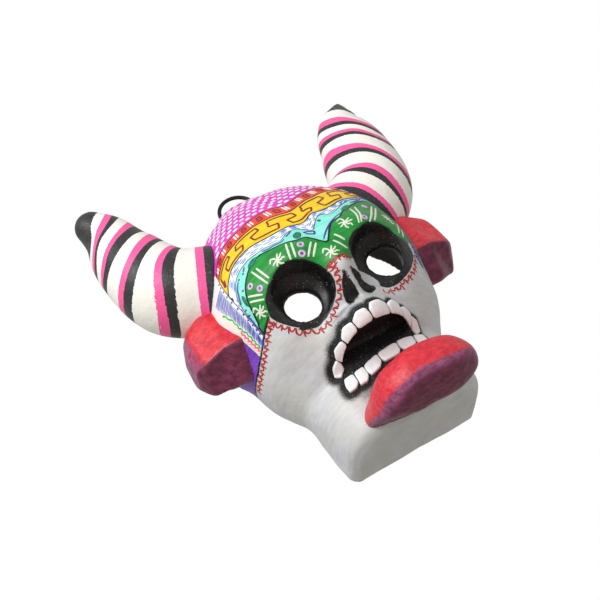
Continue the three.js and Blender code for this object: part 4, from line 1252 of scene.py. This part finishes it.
# White dabs in staggered rows over the crown, by distance across and by turn about the level axis
edge_points = np.array([surface(*b) for b in smooth_line(CROWN_EDGE[3:-1])])
edge_angles = np.degrees(np.arctan2(edge_points[:, 2] - PAINT_CENTRE[2], -(edge_points[:, 1] - PAINT_CENTRE[1])))
order = np.argsort(edge_points[:, 0])
ROW_STEP, DAB_STEP, DAB_HALF, CROWN_ROWS = 3.3, 4.1, 1.25, 19
dabs = []
for row in range(CROWN_ROWS):
    for k in range(-14, 15):
        x = (k + 0.5 * (row % 2)) * DAB_STEP + hand(0.2)
        start = np.interp(x, edge_points[order, 0], edge_angles[order])
        angle = math.radians(start + 2.6 + ROW_STEP * row + hand(0.12))
        if angle > math.radians(91):
            continue
        line = []
        for shift in np.linspace(-DAB_HALF, DAB_HALF, 4):
            way = Vector((0, -math.cos(angle), math.sin(angle)))
            origin = Vector((x + shift, PAINT_CENTRE[1], PAINT_CENTRE[2]))
            point = skin_towards(way, origin)[0]
            if point is not None:
                a, b, _ = bearings(np.array([point]))
                line.append((a[0], b[0]))
        if len(line) == 4:
            dabs.append(stroke(line, 1.05, 0.45))
dabs.append(stroke(offset_line(smooth_line(CROWN_EDGE[2:-1], 6), 1.0), 0.24, 0))

BARS = [(-5.4, -2.2), (-9.8, -7.2), (-4, -3.6), (-8.1, -8.1), (-13.8, 2.5), (-16, -4.7), (-11.9, 1.7), (-13.9, -5),
        (-31, 4.2), (-28.5, -5.6), (-28.6, 3.5), (-26.8, -4.4), (-38.5, -2.8), (-33, -7.1), (-39.5, -4.9),
        (-33.9, -8.8),
        (4.3, -3.6), (6.8, -7.6), (2.3, -5.9), (5.9, -11.1), (20.5, 7.8), (15.4, -3.8), (24.4, 9.1), (16.6, -3.7),
        (36.3, 10.4), (20.5, -4.2), (37.9, 9.2), (22.4, -4.7), (43.5, -1), (38, -7.6), (45, -3.4), (40.5, -9)]
RINGS = [(-9.5, -1.4), (-11.2, -5), (-34.9, -0.5), (-32.3, -4.5), (30.4, 9.4), (19.6, -1.6)]
SPRIGS = [((-1.5, -10.1), (0.8, -6.8)), ((-20.2, -1.5), (-17.2, 4)), ((-39.1, -10.7), (-36.6, -8.6)),
          ((10.7, -1.1), (16.2, 1.9)), ((37.1, 0.3), (26.8, -5.9))]


def through_middle(a, b):
    """A short straight stroke, with a point half way."""
    return [a, ((a[0] + b[0]) / 2, (a[1] + b[1]) / 2), b]


ivory = [stroke(through_middle(a, b), 0.56) for a, b in zip(BARS[::2], BARS[1::2])]
# A sprig: short hooked leaves round a stem, a plain traditional mark, in millimetres across and along the stem
SPRIG_SIZE = 1.3
SPRIG_STROKES = [
    [(0.1, 2.6), (0.1, 0), (-0.2, -2.5)], [(-2.7, -0.6), (-2.5, 1.1), (-1.2, 0.9), (0, 0)],
    [(0, 0), (1.1, 1.1), (1.5, 2.4)], [(0, 0), (1.3, -0.2), (2.0, 0.6), (2.9, 0.3)],
    [(0, 0), (-1.0, -0.7), (-1.6, -1.6)], [(0.1, -0.4), (1.2, -1.4), (2.3, -1.3)]]
for (turn, rise), (tip_turn, tip_rise) in SPRIGS:
    stem = unit(np.array([tip_turn - turn, tip_rise - rise], float))
    flat = np.array([stem[1], -stem[0]])
    for leaf in SPRIG_STROKES:
        line = [np.array([turn, rise]) + (flat * a + stem * b) * SPRIG_SIZE / DEG for a, b in leaf]
        ivory.append(stroke(line, 0.48, 0.4))
RING_SIZE = 1.05
rings = []
for turn, rise in RINGS:
    narrow = math.cos(math.radians(rise))
    line = [(turn + RING_SIZE * math.cos(a) / narrow, rise + RING_SIZE * math.sin(a)) for a in np.arange(0, 6.28, 0.52)]
    rings.append(stroke(line, 0.55, 0, True))

LEAVES = [((-6.2, 7.6), (-8.8, 2.6), 1.9), ((-26.0, 8.6), (-31.5, 7.2), 1.5), ((-40.6, 0.1), (-41.2, -5.7), 1.0),
          ((22.8, 11.7), (16.3, 7.7), 1.5), ((44, 10), (47, 5), 1.2)]
leaves = [stroke(through_middle(a, b), half, 0.85) for a, b, half in LEAVES]
PURPLE = [[(-4.5, 5.4), (-2.6, 4.7), (-0.4, 3.3), (-1.5, 1.4), (-3.6, 3), (-4.4, 5.3)],
          [(-0.3, -3.3), (2.4, -0.5), (5.1, 1.7), (7.5, 3.3), (10.3, 4.6), (13.9, 6.1)],
          [(-11.3, 7.8), (-9.5, 9), (-8, 10)],
          [(-22.6, 8.8), (-20.1, 7.5), (-17.4, 7), (-14.5, 5.9), (-12.7, 6.8)], [(-32.5, 9.5), (-34.1, 7.9)],
          [(-38.4, 6.5), (-40.7, 4), (-42, 1.1), (-43, -1.5)], [(-44.4, -8.8), (-45.2, -12.3), (-45.6, -15)],
          [(25.5, 13.5), (29.3, 14.4), (34.4, 16.2)]]
PURPLE_DOTS = [(-34.6, 7.2), (-37.6, 6.8), (-38.8, 1.2), (-43.3, -1.7), (-43.4, -5.4), (-43.8, -8)]
purple = [stroke(line, 0.5, 0.4) for line in PURPLE]
purple += [stroke([(turn, rise + 0.4), (turn, rise - 0.4)], 0.62) for turn, rise in PURPLE_DOTS]

# Temple pattern: hatch, wavy line, zigzag, dashes
HATCH_STEP, ZIGZAG_STEP = 0.85, 1.05
navy, hatch, wavy, zigzag, pale = [], [], [], [], []
front = smooth_line(TEMPLE_FRONT[1:], 6)
wavy_line = smooth_line(WAVY_EDGE)
for side in (-1, 1):
    def placed(line, *brush):
        """The stroke on this side of the head."""
        line = np.asarray(line, float)
        return stroke(line if side < 0 else np.stack([SIDE_SHIFT - line[:, 0], line[:, 1]], -1), *brush)

    navy.append(placed(offset_line(front, 0.1), 0.22, 0))
    for mark in offset_line(front, -0.9)[2:-2:3]:
        navy.append(placed([mark, mark + np.array([0.1, -0.7])], 0.5))
    for rise in np.arange(13, -19.5, -HATCH_STEP):
        edge = np.interp(-rise, -front[:, 1], front[:, 0])
        back = np.interp(-rise + 3, -wavy_line[:, 1], wavy_line[:, 0])
        if back + 0.8 < edge - 1.6:
            line = [(edge - 1.5 + hand(0.3), rise), (back + 0.9 + hand(0.3), rise - 2.4)]
            hatch.append(placed(line, 0.26, 0.5))
    wave = smooth_line(WAVY_EDGE[2:-1], 8)
    wave[:, 0] += 0.35 * np.sin(np.arange(len(wave)) * 0.8)
    wavy.append(placed(wave, 0.42, 0))
    wavy += [placed([wave[k] + np.array([0, 0.3]), wave[k] - np.array([0, 0.3])], 0.75) for k in (0, -6)]
    zigzag.append(placed([(-53.4 + 0.6 * (-1) ** k, -8.4 - ZIGZAG_STEP * k) for k in range(13)], 0.5, 0))
    pale.append(placed([(-54.9 + 0.4 * (-1) ** k, -11 - 1.0 * k) for k in range(11)], 0.34, 0))


def stitches(line, outward, step=3.3):
    """Loops that hug a black edge, with a slanted spike between each two."""
    line = smooth_line(line, 8)
    lengths = lengths_along(np.array([surface(*b) for b in line]))
    out = sideways(line)[0] * outward

    def at(along, off):
        k = [np.interp(along, lengths, column) for column in (line[:, 0], line[:, 1], out[:, 0], out[:, 1])]
        return k[0] + k[2] * off / DEG / math.cos(math.radians(k[1])), k[1] + k[3] * off / DEG

    made = []
    for middle in np.arange(1.2, lengths[-1] - 1.2, step):
        middle += hand(0.2)
        base = next((off for off in np.arange(0, 4.4, 0.4) if black_under(surface(*at(middle, off))) < -0.3), 0.0)
        tall = base + 1.8 + hand(0.25)
        loop = [at(middle + a, b) for a, b in ((-1.15, base), (-1.0, base + 0.9), (-0.4, tall), (0.4, tall),
                                               (1.0, base + 0.9), (1.15, base))]
        made.append(stroke(smooth_line(loop, 4), 0.38, 0.2))
        foot = middle + step / 2
        made.append(stroke([at(foot, base), at(foot + 0.7 + hand(0.3), base + 3.2 + hand(0.4))], 0.42, 0.5))
    return made


red_stitches = stitches(SOCKET_LEFT[3:19], -1.0)
red_stitches += stitches([(-6.9, -16), (-6, -13.6), (-2.5, -12.9), (1.5, -13), (4.4, -14.2)], -1.0, 2.6)
red_stitches += stitches(SOCKET_RIGHT[13:22][::-1], -1.0)
red_stitches += stitches([(-39, -15.8), (-43.1, -17.6), (-49.5, -20.7), (-56.8, -23.4), (-65.1, -25.6),
                          (-76.7, -27)], 1.0, 3.2)

teal_dot = [stroke([(4.4, 8.1), (5.6, 8.4)], 1.15, 0.35)]
# Each paint's strokes, its colour thin and thick, and its thickness as a share of the brush's width
PAINTS = [
    ("crown_dabs", dabs, "#FFFFFF", "#FBEFFA", 0.16),
    ("red_band_bars", white_bars, "#FFFFFF", "#F6EFEA", 0.3),
    ("red_band_squares", dark_squares, "#7A1A1E", "#8E2A22", 0.3),
    ("yellow_band_frets", frets, "#7A1638", "#A0302C", 0.3),
    ("white_band_dashes", dashes, "#2F6FE8", "#5C9CFF", 0.3),
    ("ivory_marks", ivory, "#F1F2E0", "#DDEBD2", 0.3),
    ("lilac_rings", rings, "#DCA6EE", "#E9C0F4", 0.35),
    ("dark_leaves", leaves, "#0B6B54", "#12866A", 0.07),
    ("teal_dot", teal_dot, "#14586E", "#206E84", 0.1),
    ("purple_strokes", purple, "#4A2490", "#6A3CB0", 0.3),
    ("navy_marks", navy, "#1A2270", "#2A3690", 0.3),
    ("hatch_lines", hatch, "#2E3FB0", "#5A74DC", 0.3),
    ("wavy_line", wavy, "#25B52E", "#45D64C", 0.3),
    ("zigzag_line", zigzag, "#FF5E9C", "#FF84B4", 0.3),
    ("pale_line", pale, "#F6D98A", "#FFE9B0", 0.3),
    ("red_stitches", red_stitches, "#A81E1A", "#C22A22", 0.3),
]
for name, strokes, low, high, thickness in PAINTS:
    lay_strokes(name, strokes, stroke_paint(name.replace("_", " ") + " in acrylic", low, high), thickness)

ear_paint = shaded_red("scrubbed red and maroon acrylic on the ears", 3.0)
for piece, node_name, sign in ((ear, "ear_right", 1), (ear_left, "ear_left", -1)):
    bulge, normals = convex(piece)
    # Pink along convex ridges, from this value: a painted highlight
    set_attribute(piece, "edge", bulge)
    set_attribute(piece, "outer", normals[:, 0] * sign - 0.8)
    # Faces that look down get a darker maroon: painted shade
    set_attribute(piece, "shaded_underside", -normals[:, 2] - 0.22)
    dress(piece, ear_paint)
    hand_in(piece, "ear_paint", node_name)

bulge, normals = convex(tongue)
# Pink along convex ridges, from this value: a painted highlight
set_attribute(tongue, "edge", bulge)
set_attribute(tongue, "outer", -0.22 - normals[:, 2])
# Faces that look down get a darker maroon: painted shade
set_attribute(tongue, "shaded_underside", -normals[:, 2] - 0.75)
dress(tongue, shaded_red("scrubbed red and maroon acrylic on the tongue", 2.2))
hand_in(tongue, "tongue_paint", "tongue")
tile_white = tooth_paint()
for tile, node_name in teeth:
    dress(tile, tile_white)
    hand_in(tile, "tooth_paint", node_name)
dress(wire, annealed_wire())
hand_in(wire, "wire", "hanging_loop")

# Stage, lamps and camera
FLOOR_LEVEL = -0.62
bpy.ops.mesh.primitive_plane_add(size=8, location=(0, 0, FLOOR_LEVEL))
floor = bpy.context.object
floor.name = "studio_floor"
dress(floor, studio_floor())

world = bpy.data.worlds.new("studio")
bpy.context.scene.world = world
world.use_nodes = True
tree = world.node_tree
tree.nodes.clear()
rays = add(tree, "LightPath").node.outputs
direct = add(tree, "Math", rays["Is Camera Ray"], rays["Is Transmission Ray"], operation="MAXIMUM")
soft, white = (add(tree, "Background", "#FFFFFF", strength) for strength in (0.56, 1.0))
add(tree, "OutputWorld", add(tree, "MixShader", direct, soft, white))


MIDDLE = Vector((0, -0.03, -0.08))


def area_lamp(name, place, size, power):
    """A square lamp that faces the middle of the piece."""
    data = bpy.data.lights.new(name, "AREA")
    data.size = size
    data.energy = power
    lamp = linked(name, data)
    lamp.location = place
    lamp.rotation_euler = (MIDDLE - Vector(place)).to_track_quat("-Z", "Y").to_euler()


area_lamp("key_lamp", (-0.7, -0.9, 0.35), 0.7, 10.5)
area_lamp("fill_lamp", (0.2, -0.9, -0.5), 0.9, 1.6)

CAMERA_PLACE = Vector((-0.193994, -0.488256, -0.375775))
CAMERA_RIGHT = Vector((0.844918, -0.000023, -0.534896))
CAMERA_UP = Vector((0.428762, -0.597857, 0.677296))
CAMERA_FORWARD = Vector((0.319807, 0.801603, 0.505130))
camera_data = bpy.data.cameras.new("camera")
camera_data.lens = 72.0
camera_data.sensor_width = 36.0
camera_data.clip_start = 0.01
camera = linked("camera", camera_data)
turned = Matrix((CAMERA_RIGHT, CAMERA_UP, -CAMERA_FORWARD)).transposed().to_4x4()
camera.matrix_world = Matrix.Translation(CAMERA_PLACE) @ turned
bpy.context.scene.camera = camera
bpy.context.scene.view_settings.view_transform = "Standard"
